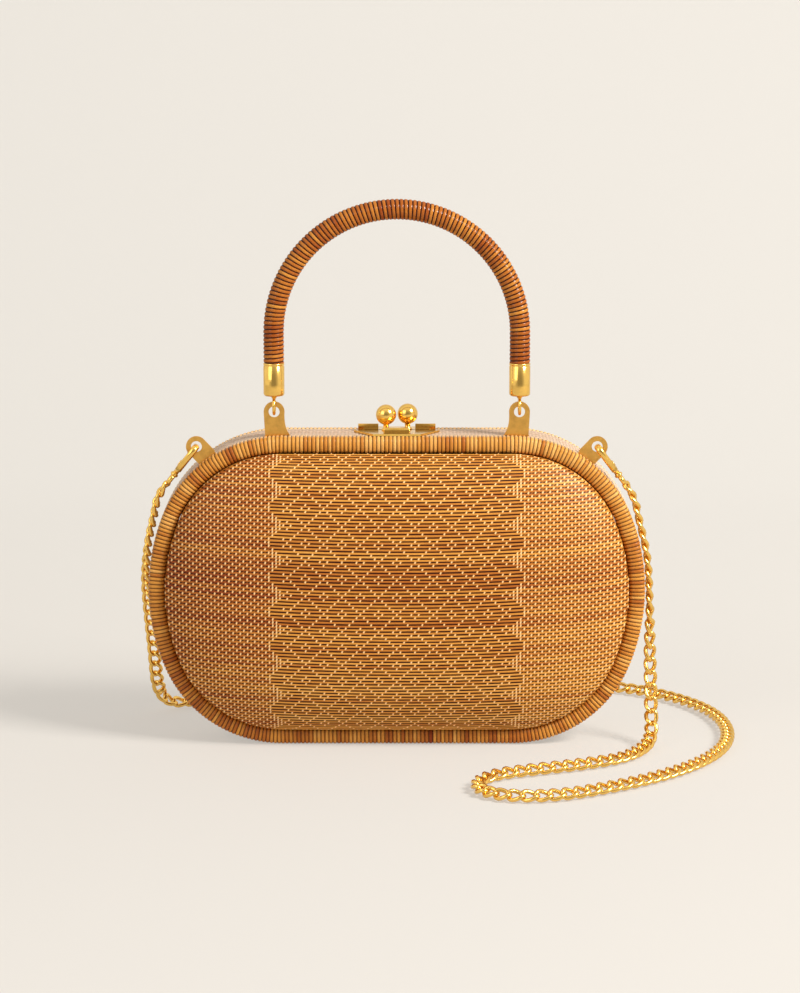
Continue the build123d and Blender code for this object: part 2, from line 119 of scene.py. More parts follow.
class WeaveSettings(PropertyGroup):
    reed_rows: IntProperty(name="Reed rows", description="Rows of reed in a panel", default=88, min=8)
    stake_pitch: length("Stake pitch", "From one upright stake to the next", 0.0017)
    reed_height: length("Reed height", "How far a reed stands out of the panel", 0.0006)
    row_sway: length("Row sway", "How far a row of reed strays up and down", 0.00018)
    row_bow: length("Row bow", "How far a row of reed rises from its middle to its ends", 0.0036)
    tied_half_width: length("Tied half width", "Half the width of the diamond twill in the middle", 0.0535)
    # Besides a browner plain weave, this paints shade that grows towards the left, away from the light
    side_tone_and_shade: number("Side tone", "How much browner the plain weave is", 0.12)
    pale_reed: colour("Pale reed", "Palest reed", tone(238, 182, 102))
    gold_reed: colour("Gold reed", "Golden reed", tone(214, 146, 60))
    brown_reed: colour("Brown reed", "Brown reed", tone(180, 104, 36))
    red_reed: colour("Red reed", "Red-brown reed", tone(142, 60, 15))
    stake: colour("Stake", "Upright stakes", tone(247, 207, 148))
    # The groove colour is painted shade, mixed in where the reeds sink between each other
    groove: colour("Groove", "Deep between the reeds", tone(54, 13, 0))


class RimSettings(PropertyGroup):
    wrap_pitch: length("Wrap pitch", "From one turn of the rim's wrapping to the next", 0.0019)
    wrap_height: length("Wrap height", "How far a turn stands out", 0.0005)
    band_pitch: length("Band pitch", "From one stake of the band to the next", 0.0017)
    band_rows: IntProperty(name="Band rows", description="Rows of reed in a band", default=4, min=2)
    # The bands' greyed colour is a painted sheen: the pale shine of lacquered reed at a grazing angle
    band_sheen_wash: colour("Band wash", "Greyed wash over the bands", tone(230, 206, 184))
    band_sheen_wash_share: number("Band wash share", "How much of the wash shows", 0.75)


class LiningSettings(PropertyGroup):
    shaded_thread: colour("Shaded thread", "Low threads of the cotton lining", tone(196, 176, 148))
    light_thread: colour("Light thread", "Raised threads of the cotton lining", tone(222, 206, 180))


class HandleSettings(PropertyGroup):
    span: length("Span", "Between the middles of the two legs", 0.1152)
    radius: length("Radius", "Radius of the wrapped handle", 0.00485)
    wrap_pitch: length("Wrap pitch", "From one turn of the handle's wrapping to the next", 0.00195)
    wrap_height: length("Wrap height", "How far a turn stands out", 0.00045)


class ChainSettings(PropertyGroup):
    link_length: length("Link length", "Outside length of a link", 0.0094)
    link_width: length("Link width", "Outside width of a link", 0.0070)
    wire: length("Wire", "Thickness of the wire", 0.0020)
    link_pitch: length("Link pitch", "From one link to the next", 0.0062)


class ClipSettings(PropertyGroup):
    hole_x: length("Hole X", "From the middle to the hole of a chain tab", 0.094262)
    hole_z: length("Hole Z", "From the floor to the hole of a chain tab", 0.142517)
    right_drop: tilt("Right drop", "How steeply the right clip hangs", 53)
    left_drop: tilt("Left drop", "How steeply the left clip hangs", 51.5)
    half_width: length("Half width", "From a clip's middle line to the middle of its side bars", 0.00365)
    pivot: length("Pivot", "From the bill to the pivot of the gate", 0.0116)
    base_end: length("Base end", "From the bill to the end of the hook", 0.0155)
    swivel_end: length("Swivel end", "From the bill to the end of the swivel", 0.0225)


class BrassSettings(PropertyGroup):
    polished: colour("Polished brass", "Balls, ferrules, hooks and chain", tone(243, 197, 102))
    satin: colour("Satin brass", "Stamped tabs and hinge", tone(234, 180, 90))
    tarnish: colour("Tarnish", "Cloudy tarnish on both", tone(150, 104, 48))


class StageSettings(PropertyGroup):
    paper: colour("Paper", "Floor and backdrop", tone(213, 209, 203))
    glow: colour("Glow", "Even brightness of the floor and backdrop in the picture", tone(240, 234, 225))
    far_glow: colour("Far glow", "The same where the paper rises behind the bag", tone(255, 250, 241))
    glow_share: number("Glow share", "Share of that brightness", 0.52)
    key_power: power("Key power", "Power of the key light", 64)
    sky_strength: number("Sky strength", "Soft light from all round", 0.4)
    fill_power: power("Fill power", "Power of the fill light", 6)


class BagSettings(PropertyGroup):
    outline: PointerProperty(type=OutlineSettings)
    weave: PointerProperty(type=WeaveSettings)
    rim: PointerProperty(type=RimSettings)
    lining: PointerProperty(type=LiningSettings)
    handle: PointerProperty(type=HandleSettings)
    chain: PointerProperty(type=ChainSettings)
    clip: PointerProperty(type=ClipSettings)
    brass: PointerProperty(type=BrassSettings)
    stage: PointerProperty(type=StageSettings)


class Outline:
    """The bag's outline in the front view: level top and bottom, round corners and bowed sides."""

    def __init__(self, sizes):
        turn = sizes.side_turn
        self.corner = sizes.corner_radius
        self.turn = turn
        self.corner_z = BAG_HEIGHT / 2 - self.corner
        self.side = self.corner + self.corner_z / math.sin(turn)
        self.flat = BAG_WIDTH / 2 - self.corner * math.cos(turn) - self.side * (1 - math.cos(turn))
        self.side_x = BAG_WIDTH / 2 - self.side
        self.corner_run = self.corner * (math.pi / 2 - turn)
        self.half_run = 2 * self.flat + 2 * self.corner_run + self.side * 2 * turn

    def half_width(self, height, inset):
        """Half the width at a height above or below the middle, drawn in by an inset."""
        height = abs(height)
        radius = self.corner - inset
        if height <= self.corner_z + radius * math.sin(self.turn):
            return self.side_x + math.sqrt((self.side - inset) ** 2 - height**2)
        return self.flat + math.sqrt(max(radius**2 - (height - self.corner_z) ** 2, 0))

    def outward(self, x, height, inset):
        """The outward direction at a point of the outline, drawn in by an inset."""
        across = math.copysign(1, x)
        up = math.copysign(1, height)
        if abs(height) <= self.corner_z + (self.corner - inset) * math.sin(self.turn):
            return Vector((x - across * self.side_x, height)).normalized()
        if abs(x) > self.flat:
            return Vector((x - across * self.flat, height - up * self.corner_z)).normalized()
        return Vector((0, up))

    def station(self, distance):
        """Place and outward direction at a distance along the outline from the middle of the top."""
        distance = distance % (2 * self.half_run)
        mirrored = distance > self.half_run
        along = 2 * self.half_run - distance if mirrored else distance
        below = along > self.half_run / 2
        along = self.half_run - along if below else along
        if along <= self.flat:
            x, z, angle = along, self.corner_z + self.corner, math.pi / 2
        elif along <= self.flat + self.corner_run:
            angle = math.pi / 2 - (along - self.flat) / self.corner
            x = self.flat + self.corner * math.cos(angle)
            z = self.corner_z + self.corner * math.sin(angle)
        else:
            angle = (self.half_run / 2 - along) / self.side
            x = self.side_x + self.side * math.cos(angle)
            z = self.side * math.sin(angle)
        across = -1 if mirrored else 1
        up = -1 if below else 1
        return across * x, up * z, across * math.cos(angle), up * math.sin(angle)


def settings():
    """The scene's settings for the bag."""
    return bpy.context.scene.basket_bag


def make_piece(name, verts, faces, body, material, layers=None):
    """A smooth mesh piece with its material and point layers, riding on a body."""
    mesh = bpy.data.meshes.new(name)
    mesh.from_pydata(verts, [], faces)
    for layer, values in (layers or {}).items():
        mesh.attributes.new(layer, "FLOAT", "POINT").data.foreach_set("value", values)
    mesh.polygons.foreach_set("use_smooth", [True] * len(mesh.polygons))
    mesh.materials.append(material)
    mesh.update()
    piece = bpy.data.objects.new(name, mesh)
    bpy.context.scene.collection.objects.link(piece)
    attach(piece, body)
    return piece


def brass_piece(name, node, body, shape):
    """A polished brass piece in place of a solid; its shape is (points, faces)."""
    piece = make_piece(name, *shape, body, polished_brass())
    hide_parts(node)
    return piece


def full_turn(steps):
    """Angles evenly spread over one full turn."""
    return [2 * math.pi * k / steps for k in range(steps)]


def ring_faces(count, sides, closed):
    """Quads between neighbouring rings of points, the rings in a row or in a circle."""
    faces = []
    for i in range(count if closed else count - 1):
        j = (i + 1) % count
        for k in range(sides):
            m = (k + 1) % sides
            faces.append((i * sides + k, i * sides + m, j * sides + m, j * sides + k))
    return faces


def end_caps(total, sides):
    """The faces that close the first and the last ring of a row."""
    return [tuple(reversed(range(sides))), tuple(range(total - sides, total))]


def flipped(faces):
    """The same faces, turned to their other side."""
    return [tuple(reversed(face)) for face in faces]


class ReedMesh:
    """Points and faces of a reed piece, with the layers that its material reads at each point."""

    def __init__(self):
        self.verts = []
        self.faces = []
        self.layers = {"reed_tone": [], "reed_stake": [], "reed_groove_shade": []}

    def add(self, point, reed, stake, groove_shade):
        """Adds a point with its tone, its share of stake and of painted groove shade, and returns its number.
        """
        self.verts.append(point)
        for layer, value in zip(self.layers.values(), (reed, stake, groove_shade)):
            layer.append(value)
        return len(self.verts) - 1

    def dress_halves(self, piece, node, slot, material):
        """Puts the piece on the front half, and its mirror image on the back half, for their solids."""
        mirrored = [Vector((v.x, -v.y, v.z)) for v in self.verts]
        halves = (("front", self.verts, self.faces), ("back", mirrored, flipped(self.faces)))
        for half, verts, faces in halves:
            made = make_piece(f"{half}_{piece}", verts, faces, f"{half}_shell", material, self.layers)
            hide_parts(f"{half}_{node}")


# How deep the fine relief of reed and brass is, in metres
SKIN_DEPTH = 0.0001


class Shader:
    """A material with a Principled shader, and short ways to add, join and set its nodes."""

    def __init__(self, name):
        self.material = bpy.data.materials.new(name)
        self.material.use_nodes = True
        self.tree = self.material.node_tree
        self.surface = self.tree.nodes["Principled BSDF"]

    def add(self, kind, **values):
        return add_node(self.tree, kind, **values)

    def join(self, source, target):
        self.tree.links.new(source, target)

    def tune(self, **values):
        """Sets inputs of the surface by name."""
        for name, value in values.items():
            self.surface.inputs[name.replace("_", " ")].default_value = value

    def relief(self, height, strength, distance):
        """Bumps the surface by a height."""
        bump = self.add("ShaderNodeBump", Strength=strength, Distance=distance)
        self.join(height, bump.inputs["Height"])
        self.join(bump.outputs["Normal"], self.surface.inputs["Normal"])

    def skin(self, group, strength):
        """Places a node group, and joins its colour, roughness and height to the surface."""
        node = self.add("ShaderNodeGroup", node_tree=group)
        self.join(node.outputs["Colour"], self.surface.inputs["Base Color"])
        self.join(node.outputs["Roughness"], self.surface.inputs["Roughness"])
        self.relief(node.outputs["Height"], strength, SKIN_DEPTH)
        return node


def add_node(tree, kind, **values):
    """A node whose properties are set by name, and its inputs by name where it has no such property."""
    node = tree.nodes.new(kind)
    for name, value in values.items():
        if hasattr(node, name):
            setattr(node, name, value)
        else:
            node.inputs[name.replace("_", " ")].default_value = value
    return node


def skin_group(name, inputs):
    """A shader node group for a colour, a roughness and a height; inputs are (name, type, default)."""
    group = bpy.data.node_groups.new(name, "ShaderNodeTree")
    for label, kind, default in inputs:
        socket = group.interface.new_socket(label, in_out="INPUT", socket_type=kind)
        socket.default_value = default
    outputs = (("Colour", "NodeSocketColor"), ("Roughness", "NodeSocketFloat"), ("Height", "NodeSocketFloat"))
    for label, kind in outputs:
        group.interface.new_socket(label, in_out="OUTPUT", socket_type=kind)
    return group, group.nodes.new("NodeGroupInput"), group.nodes.new("NodeGroupOutput")


# Tones at which the reed has each of its four colours
PALE_TONE = 0.05
GOLD_TONE = 0.36
BROWN_TONE = 0.66
RED_TONE = 0.95


def reed_group():
    """Reed: four colours by tone, streaks, painted shade in the grooves and pale stakes, by the mesh's
    layers.
    """
    name = "Reed"
    if name in bpy.data.node_groups:
        return bpy.data.node_groups[name]
    look = settings().weave
    inputs = (
        ("Streak X", "NodeSocketFloat", 40.0),
        ("Streak Y", "NodeSocketFloat", 40.0),
        ("Streak Z", "NodeSocketFloat", 40.0),
        ("Streak Share", "NodeSocketFloat", 0.35),
        ("Stake Colour", "NodeSocketColor", (*look.stake, 1)),
        ("Groove Shade Share", "NodeSocketFloat", 0.8),
        # A painted sheen of pale colour over the reed, off unless its share is set
        ("Sheen Wash Colour", "NodeSocketColor", (*look.pale_reed, 1)),
        ("Sheen Wash Share", "NodeSocketFloat", 0.0),
    )
    group, given, result = skin_group(name, inputs)
    link = group.links.new
    place = add_node(group, "ShaderNodeTexCoord")
    stretch = add_node(group, "ShaderNodeCombineXYZ")
    for axis in "XYZ":
        link(given.outputs[f"Streak {axis}"], stretch.inputs[axis])
    scaled = add_node(group, "ShaderNodeVectorMath", operation="MULTIPLY")
    link(place.outputs["Object"], scaled.inputs[0])
    link(stretch.outputs[0], scaled.inputs[1])
    streak = add_node(group, "ShaderNodeTexNoise", Scale=1.0, Detail=3.0, Roughness=0.6)
    link(scaled.outputs[0], streak.inputs["Vector"])
    row = add_node(group, "ShaderNodeAttribute", attribute_name="reed_tone")
    centred = add_node(group, "ShaderNodeMath", operation="SUBTRACT")
    centred.inputs[1].default_value = 0.5
    link(streak.outputs["Fac"], centred.inputs[0])
    mixed = add_node(group, "ShaderNodeMath", operation="MULTIPLY_ADD")
    link(centred.outputs[0], mixed.inputs[0])
    link(given.outputs["Streak Share"], mixed.inputs[1])
    link(row.outputs["Fac"], mixed.inputs[2])
    ramp = add_node(group, "ShaderNodeValToRGB")
    stops = ramp.color_ramp.elements
    stops[0].position, stops[1].position = PALE_TONE, RED_TONE
    stops[0].color = (*look.pale_reed, 1)
    stops[1].color = (*look.red_reed, 1)
    stops.new(GOLD_TONE).color = (*look.gold_reed, 1)
    stops.new(BROWN_TONE).color = (*look.brown_reed, 1)
    link(mixed.outputs[0], ramp.inputs["Fac"])
    # Painted sheen: pale colour mixed over the reed
    sheen_washed = add_node(group, "ShaderNodeMix", data_type="RGBA")
    link(given.outputs["Sheen Wash Share"], sheen_washed.inputs["Factor"])
    link(ramp.outputs["Color"], sheen_washed.inputs["A"])
    link(given.outputs["Sheen Wash Colour"], sheen_washed.inputs["B"])
    edges = {}
    for layer, low, high in (("reed_stake", 0.35, 0.65), ("reed_groove_shade", 0.22, 0.58)):
        soft = add_node(group, "ShaderNodeAttribute", attribute_name=layer)
        crisp = add_node(
            group, "ShaderNodeMapRange", interpolation_type="SMOOTHSTEP", From_Min=low, From_Max=high
        )
        link(soft.outputs["Fac"], crisp.inputs["Value"])
        edges[layer] = crisp.outputs["Result"]
    staked = add_node(group, "ShaderNodeMix", data_type="RGBA")
    link(edges["reed_stake"], staked.inputs["Factor"])
    link(sheen_washed.outputs["Result"], staked.inputs["A"])
    link(given.outputs["Stake Colour"], staked.inputs["B"])
    # Painted shade: the groove colour darkens the reed by its layer of groove shade
    deep = add_node(group, "ShaderNodeMath", operation="MULTIPLY")
    link(edges["reed_groove_shade"], deep.inputs[0])
    link(given.outputs["Groove Shade Share"], deep.inputs[1])
    groove_shaded = add_node(group, "ShaderNodeMix", data_type="RGBA", B=(*look.groove, 1))
    link(deep.outputs[0], groove_shaded.inputs["Factor"])
    link(staked.outputs["Result"], groove_shaded.inputs["A"])
    link(groove_shaded.outputs["Result"], result.inputs["Colour"])
    rough = add_node(group, "ShaderNodeMapRange", To_Min=0.30, To_Max=0.52)
    link(streak.outputs["Fac"], rough.inputs["Value"])
    link(rough.outputs["Result"], result.inputs["Roughness"])
    link(streak.outputs["Fac"], result.inputs["Height"])
    return group


def reed_material(name, streaks, streak_share, groove_shade_share, gloss, coat, sheen_wash=None, sheen_wash_share=0.0):
    """Varnished reed, with streaks along one direction of the piece, and a painted sheen of pale colour over
    it if one is given.
    """
    shader = Shader(name)
    reed = shader.skin(reed_group(), 0.25)
    for axis, value in zip("XYZ", streaks):
        reed.inputs[f"Streak {axis}"].default_value = value
    reed.inputs["Streak Share"].default_value = streak_share
    reed.inputs["Groove Shade Share"].default_value = groove_shade_share
    if sheen_wash:
        reed.inputs["Sheen Wash Colour"].default_value = (*sheen_wash, 1)
        reed.inputs["Stake Colour"].default_value = (*sheen_wash, 1)
        reed.inputs["Sheen Wash Share"].default_value = sheen_wash_share
    shader.tune(Specular_IOR_Level=gloss, Coat_Weight=coat, Coat_Roughness=0.2)
    return shader.material


def brass_group():
    """Brass wear: cloudy tarnish, fine scratches, and a rougher skin where the tarnish is."""
    name = "Brass Wear"
    if name in bpy.data.node_groups:
        return bpy.data.node_groups[name]
    look = settings().brass
    inputs = (
        ("Colour", "NodeSocketColor", (*look.polished, 1)),
        ("Tarnish", "NodeSocketColor", (*look.tarnish, 1)),
        ("Tarnish Share", "NodeSocketFloat", 0.25),
        ("Smooth", "NodeSocketFloat", 0.14),
        ("Rough", "NodeSocketFloat", 0.30),
    )
    group, given, result = skin_group(name, inputs)
    link = group.links.new
    place = add_node(group, "ShaderNodeTexCoord")
    cloud = add_node(group, "ShaderNodeTexNoise", Scale=260.0, Detail=4.0, Roughness=0.65)
    link(place.outputs["Object"], cloud.inputs["Vector"])
    scratch = add_node(group, "ShaderNodeTexNoise", Scale=2600.0, Detail=2.0, Roughness=0.5)
    link(place.outputs["Object"], scratch.inputs["Vector"])
    spread = add_node(group, "ShaderNodeMapRange", From_Min=0.42, From_Max=0.72)
    link(cloud.outputs["Fac"], spread.inputs["Value"])
    share = add_node(group, "ShaderNodeMath", operation="MULTIPLY")
    link(spread.outputs["Result"], share.inputs[0])
    link(given.outputs["Tarnish Share"], share.inputs[1])
    mixed = add_node(group, "ShaderNodeMix", data_type="RGBA")
    link(share.outputs[0], mixed.inputs["Factor"])
    link(given.outputs["Colour"], mixed.inputs["A"])
    link(given.outputs["Tarnish"], mixed.inputs["B"])
    link(mixed.outputs["Result"], result.inputs["Colour"])
    rough = add_node(group, "ShaderNodeMapRange")
    link(cloud.outputs["Fac"], rough.inputs["Value"])
    link(given.outputs["Smooth"], rough.inputs["To Min"])
    link(given.outputs["Rough"], rough.inputs["To Max"])
    link(rough.outputs["Result"], result.inputs["Roughness"])
    link(scratch.outputs["Fac"], result.inputs["Height"])
    return group


def brass_material(name, base, tarnish_share, smooth, rough):
    """A brass with its own colour, tarnish and roughness; made once by name."""
    if name in bpy.data.materials:
        return bpy.data.materials[name]
    shader = Shader(name)
    wear = shader.skin(brass_group(), 0.06)
    wear.inputs["Colour"].default_value = (*base, 1)
    wear.inputs["Tarnish Share"].default_value = tarnish_share
    wear.inputs["Smooth"].default_value = smooth
    wear.inputs["Rough"].default_value = rough
    shader.tune(Metallic=1.0)
    return shader.material


def polished_brass():
    """Brass of the turned and bent fittings."""
    base = settings().brass.polished
    return brass_material("polished_brass", base, tarnish_share=0.15, smooth=0.08, rough=0.22)


def satin_brass():
    """Brass of the stamped tabs and the hinge."""
    base = settings().brass.satin
    return brass_material("satin_brass", base, tarnish_share=0.35, smooth=0.28, rough=0.46)


# Width of the soft edges of stamped brass, in metres
STAMPED_EDGE = 0.0002


def dress_node(node, material, bevel=0.0):
    """Gives a carried-over solid its material, and softens its edges when a bevel width is given."""
    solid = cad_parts[node]
    solid.data.materials.clear()
    solid.data.materials.append(material)
    if bevel:
        soft = solid.modifiers.new("soft_edges", "BEVEL")
        soft.width = bevel
        soft.segments = 3
        soft.limit_method = "ANGLE"
        soft.angle_limit = math.radians(40)


def round_box(node):
    """Middle of the foot, radius and height of an upright round solid."""
    low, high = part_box(node)
    foot = Vector(((low[0] + high[0]) / 2, (low[1] + high[1]) / 2, low[2]))
    return foot, (high[0] - low[0]) / 2, high[2] - low[2]


def lathe(profile, sides, place):
    """Points and faces of a turned shape: (radius, height) pairs turned about Z, then put in place."""
    verts = []
    for radius, height in profile:
        for angle in full_turn(sides):
            verts.append(place @ Vector((radius * math.cos(angle), radius * math.sin(angle), height)))
    return verts, ring_faces(len(profile), sides, False) + end_caps(len(verts), sides)


def joined(*shapes):
    """Several (points, faces) shapes as one."""
    verts = []
    faces = []
    for points, quads in shapes:
        start = len(verts)
        verts.extend(points)
        faces.extend(tuple(start + i for i in quad) for quad in quads)
    return verts, faces


def rod(path, wide, deep, sides, flat, closed=False):
    """A bar of oval section along a path in one plane; flat is that plane's normal."""
    count = len(path)
    verts = []
    for i, here in enumerate(path):
        before = path[i - 1] if i or closed else here
        after = path[(i + 1) % count] if i < count - 1 or closed else here
        ahead = (after - before).normalized()
        aside = flat.cross(ahead).normalized()
        for angle in full_turn(sides):
            verts.append(here + aside * (wide * math.cos(angle)) + flat * (deep * math.sin(angle)))
    faces = ring_faces(count, sides, closed)
    if not closed:
        faces += end_caps(len(verts), sides)
    return verts, faces


def rounded(corners, radius, steps, closed):
    """A flat outline with round corners: each corner is replaced by points of a smooth bend."""
    points = []
    count = len(corners)
    for i, corner in enumerate(corners):
        if not closed and i in (0, count - 1):
            points.append(corner)
            continue
        start = corner + (corners[i - 1] - corner).normalized() * radius
        end = corner + (corners[(i + 1) % count] - corner).normalized() * radius
        for k in range(steps + 1):
            share = k / steps
            points.append(start * (1 - share) ** 2 + corner * (2 * share * (1 - share)) + end * share**2)
    return points


def swell(share, sizes):
    """How far the panel stands out at a share of the way from its middle to its edge."""
    return max(1 - abs(share) ** sizes.dome_power, 0) ** sizes.dome_root


# Stakes and rows in one repeat of the diamond twill, and in the smaller diamond inside it
DIAMOND = 10
INNER_DIAMOND = 4
# How many stakes the zigzag border steps with each row, and half its width in stakes
ZIGZAG_STEP = 0.7
ZIGZAG_HALF = 0.75


def diamond_over(stake, row):
    """Whether a stake passes over a row of reed in the diamond twill."""
    step = row % DIAMOND
    reach = min(step, DIAMOND - step)
    places = {reach, -reach % DIAMOND}
    if reach <= 1:
        places |= {reach + INNER_DIAMOND, -(reach + INNER_DIAMOND) % DIAMOND}
    if reach >= INNER_DIAMOND:
        places |= {reach - INNER_DIAMOND, -(reach - INNER_DIAMOND) % DIAMOND}
    return stake % DIAMOND in places


def past_zigzag(stake, row, tied):
    """How many stakes outside the zigzag border, which steps in and out as the rows go up."""
    return abs(stake) - tied - 1 - ZIGZAG_STEP * abs(row % DIAMOND - DIAMOND // 2)


def stake_over(stake, row, tied):
    """Whether a stake shows at a groove: twill in the middle, a zigzag border, plain weave at the sides."""
    outside = past_zigzag(stake, row, tied)
    if abs(outside) <= ZIGZAG_HALF:
        return True
    if outside > 0:
        return (stake + row) % 2 == 0
    return abs(stake) <= tied and diamond_over(stake, row)


# Levels of a row of reed, as shares of its height: its groove and the two sides of its crest
REED_LEVELS = (0.0, 0.36, 0.64)


def row_levels(sizes, rows):
    """Heights of the reeds' grooves and crests, evenly spread along the panel's curve up its middle."""
    top = BAG_HEIGHT / 2 - sizes.panel_inset
    steps = 4000
    runs = [0.0]
    heights = []
    last = None
    for i in range(steps + 1):
        climb = math.sin(math.pi * (i / steps - 0.5))
        point = Vector((top * climb, sizes.panel_bulge * swell(climb, sizes)))
        heights.append(point.x)
        if last is not None:
            runs.append(runs[-1] + (point - last).length)
        last = point
    levels = []
    i = 0
    for row in range(rows):
        for part, share in enumerate(REED_LEVELS):
            run = runs[-1] * (row + share) / rows
            while runs[i + 1] < run:
                i += 1
            levels.append((heights[i], row, part))
    levels.append((top, rows, 0))
    return levels


def panel_point(outline, sizes, x, height):
    """A point of the smooth panel, in front of the seam."""
    top = BAG_HEIGHT / 2 - sizes.panel_inset
    wide = outline.half_width(height, sizes.panel_inset)
    dome = sizes.panel_bulge * swell(min(abs(x) / wide, 1), sizes) * swell(height / top, sizes)
    return Vector((x, -(sizes.panel_edge + dome), BAG_HEIGHT / 2 + height))


def lifted_point(outline, sizes, x, height, lift):
    """A point of the panel raised along the panel's own outward direction."""
    here = panel_point(outline, sizes, x, height)
    if not lift:
        return here
    step = 0.0004
    aside = panel_point(outline, sizes, x - math.copysign(step, x), height) - here
    above = panel_point(outline, sizes, x, height - math.copysign(step, height)) - here
    normal = aside.cross(above).normalized()
    if normal.y > 0:
        normal = -normal
    return here + normal * lift


# (lift share, stake share, share of painted groove shade) of a reed's crest and of the groove below it, by
# what is there
STAKE_ON_CREST = (1.0, 0.52, 0)
PLAIN_STAKE_ON_CREST = (1.0, 0.62, 0)
CREST = (0.9, 0, 0)
PLAIN_CREST = (0.75, 0, 0)
STAKE_ON_GROOVE = (0.95, 1, 0)
STAKE_UNDER = (0.4, 0.2, 0.5)
OPEN_GROOVE = (0.05, 0, 1)


def reed_state(stake_here, row, part, tied):
    """The (lift, stake, painted groove shade) shares where a level crosses a stake, or runs between two
    stakes.
    """
    stake, between = divmod(stake_here, 2)
    groove = row + (part == 2)
    crossed = not between and stake_over(stake, groove, tied)
    plain = past_zigzag(stake + between / 2, row, tied) > 0
    if part and crossed:
        return PLAIN_STAKE_ON_CREST if plain else STAKE_ON_CREST
    if part:
        return PLAIN_CREST if plain and between else CREST
    if crossed:
        return STAKE_ON_GROOVE
    return STAKE_UNDER if plain and not between else OPEN_GROOVE


def strip_between(low, high):
    """Triangles between two runs of (x, vertex) that start side by side."""
    faces = []
    i = 0
    j = 0
    while i < len(low) - 1 or j < len(high) - 1:
        if j == len(high) - 1 or (i < len(low) - 1 and abs(low[i + 1][0]) <= abs(high[j + 1][0])):
            faces.append((low[i][1], low[i + 1][1], high[j][1]))
            i += 1
        else:
            faces.append((low[i][1], high[j + 1][1], high[j][1]))
            j += 1
    return faces


# Tone of the panel's rows: the palest, the spread above it, and the browner belt across the middle
ROW_TONE = 0.28
ROW_TONE_SPREAD = 0.28
BELT_TONE = 0.16
BELT_SHARE = 0.13
# Painted shade at the panel's edge where it meets the rim, and tone and painted shade of its skirt
EDGE_SHADE = 0.3
SKIRT_TONE = 0.5
SKIRT_SHADE = 0.4
# How fast a row sways along its length, in radians per metre, and how far the next row is out of step
SWAY_TURN = 55
SWAY_SHIFT = 0.7


def panel_rows(reed, seed):
    """Adds the panel's points level by level, as (points by half stake, their reach, two end points)."""
    sizes = settings().outline
    look = settings().weave
    outline = Outline(sizes)
    tied = round(look.tied_half_width / look.stake_pitch)
    half_pitch = look.stake_pitch / 2
    top = BAG_HEIGHT / 2 - sizes.panel_inset
    dice = random.Random(seed)
    row_sways = [dice.random() for _ in range(look.reed_rows + 1)]
    row_tones = []
    for row in range(look.reed_rows + 1):
        middle = (row / look.reed_rows - 0.5) / BELT_SHARE
        belt = BELT_TONE * math.exp(-middle * middle)
        row_tones.append(ROW_TONE + ROW_TONE_SPREAD * dice.random() + belt)
    rows = []
    for height, row, part in row_levels(sizes, look.reed_rows):
        slack = 1 - (height / top) ** 2
        end_level = height + look.row_bow * slack
        wide = outline.half_width(end_level, sizes.panel_inset)
        count = int((wide - half_pitch / 4) / half_pitch)
        line = {}
        for k in range(-count, count + 1):
            lift, stake, groove_shade = reed_state(k, row, part, tied)
            x = k * half_pitch
            bow = look.row_bow * (x / wide) ** 2
            sway = look.row_sway * (1 - (x / wide) ** 2) * row_sways[row]
            level = height + slack * (bow + sway * math.sin(x * SWAY_TURN + row * SWAY_SHIFT))
            point = lifted_point(outline, sizes, x, level, lift * look.reed_height)
            # Browner plain weave, plus painted shade that grows towards the shaded left side
            browner_and_shaded = look.side_tone_and_shade * (1 - x / wide) if past_zigzag(k / 2, row, tied) > 0 else 0
            line[k] = reed.add(point, row_tones[row] + browner_and_shaded, stake, groove_shade)
        ends = []
        for side in (-1, 1):
            edge = panel_point(outline, sizes, side * wide, end_level)
            ends.append(reed.add(edge, row_tones[row], 0, EDGE_SHADE))
        rows.append((line, count, ends))
    return rows


def panel_faces(reed, rows):
    """Joins each level of the panel to the next: quads between the stakes, triangles at the ends."""
    for lower, upper in zip(rows, rows[1:]):
        low, high = lower[0], upper[0]
        common = min(lower[1], upper[1])
        for k in range(-common, common):
            reed.faces.append((low[k], low[k + 1], high[k + 1], high[k]))
        for side, end in ((1, 1), (-1, 0)):
            runs = []
            for line, count, ends in (lower, upper):
                run = [line[side * k] for k in range(common, count + 1)] + [ends[end]]
                runs.append([(reed.verts[i].x, i) for i in run])
            strip = strip_between(*runs)
            reed.faces.extend(strip if side > 0 else flipped(strip))


def panel_skirt(reed, rows):
    """Adds the skirt from the panel's edge to the seam, and its inner side."""
    sizes = settings().outline
    outline = Outline(sizes)
    bottom, top = rows[0], rows[-1]
    border = [bottom[2][0], *(bottom[0][k] for k in sorted(bottom[0]))]
    border += [ends[1] for _, _, ends in rows]
    border += [top[0][k] for k in sorted(top[0], reverse=True)]
    border += [ends[0] for _, _, ends in reversed(rows[1:])]
    wall = sizes.panel_wall
    steps = ((0, sizes.skirt_edge), (wall, sizes.skirt_edge), (wall, sizes.panel_edge - 2 * wall))
    loop = border
    for drawn_in, out in steps:
        ring = []
        for i in border:
            place = reed.verts[i]
            away = outline.outward(place.x, place.z - BAG_HEIGHT / 2, sizes.panel_inset) * drawn_in
            point = Vector((place.x - away.x, -out, place.z - away.y))
            ring.append(reed.add(point, SKIRT_TONE, 0, SKIRT_SHADE))
        for k in range(len(border)):
            m = (k + 1) % len(border)
            reed.faces.append((loop[k], ring[k], ring[m], loop[m]))
        loop = ring


def woven_panel(seed):
    """The front panel: rows of reed over and under upright stakes, with its skirt."""
    reed = ReedMesh()
    rows = panel_rows(reed, seed)
    panel_faces(reed, rows)
    panel_skirt(reed, rows)
    return reed


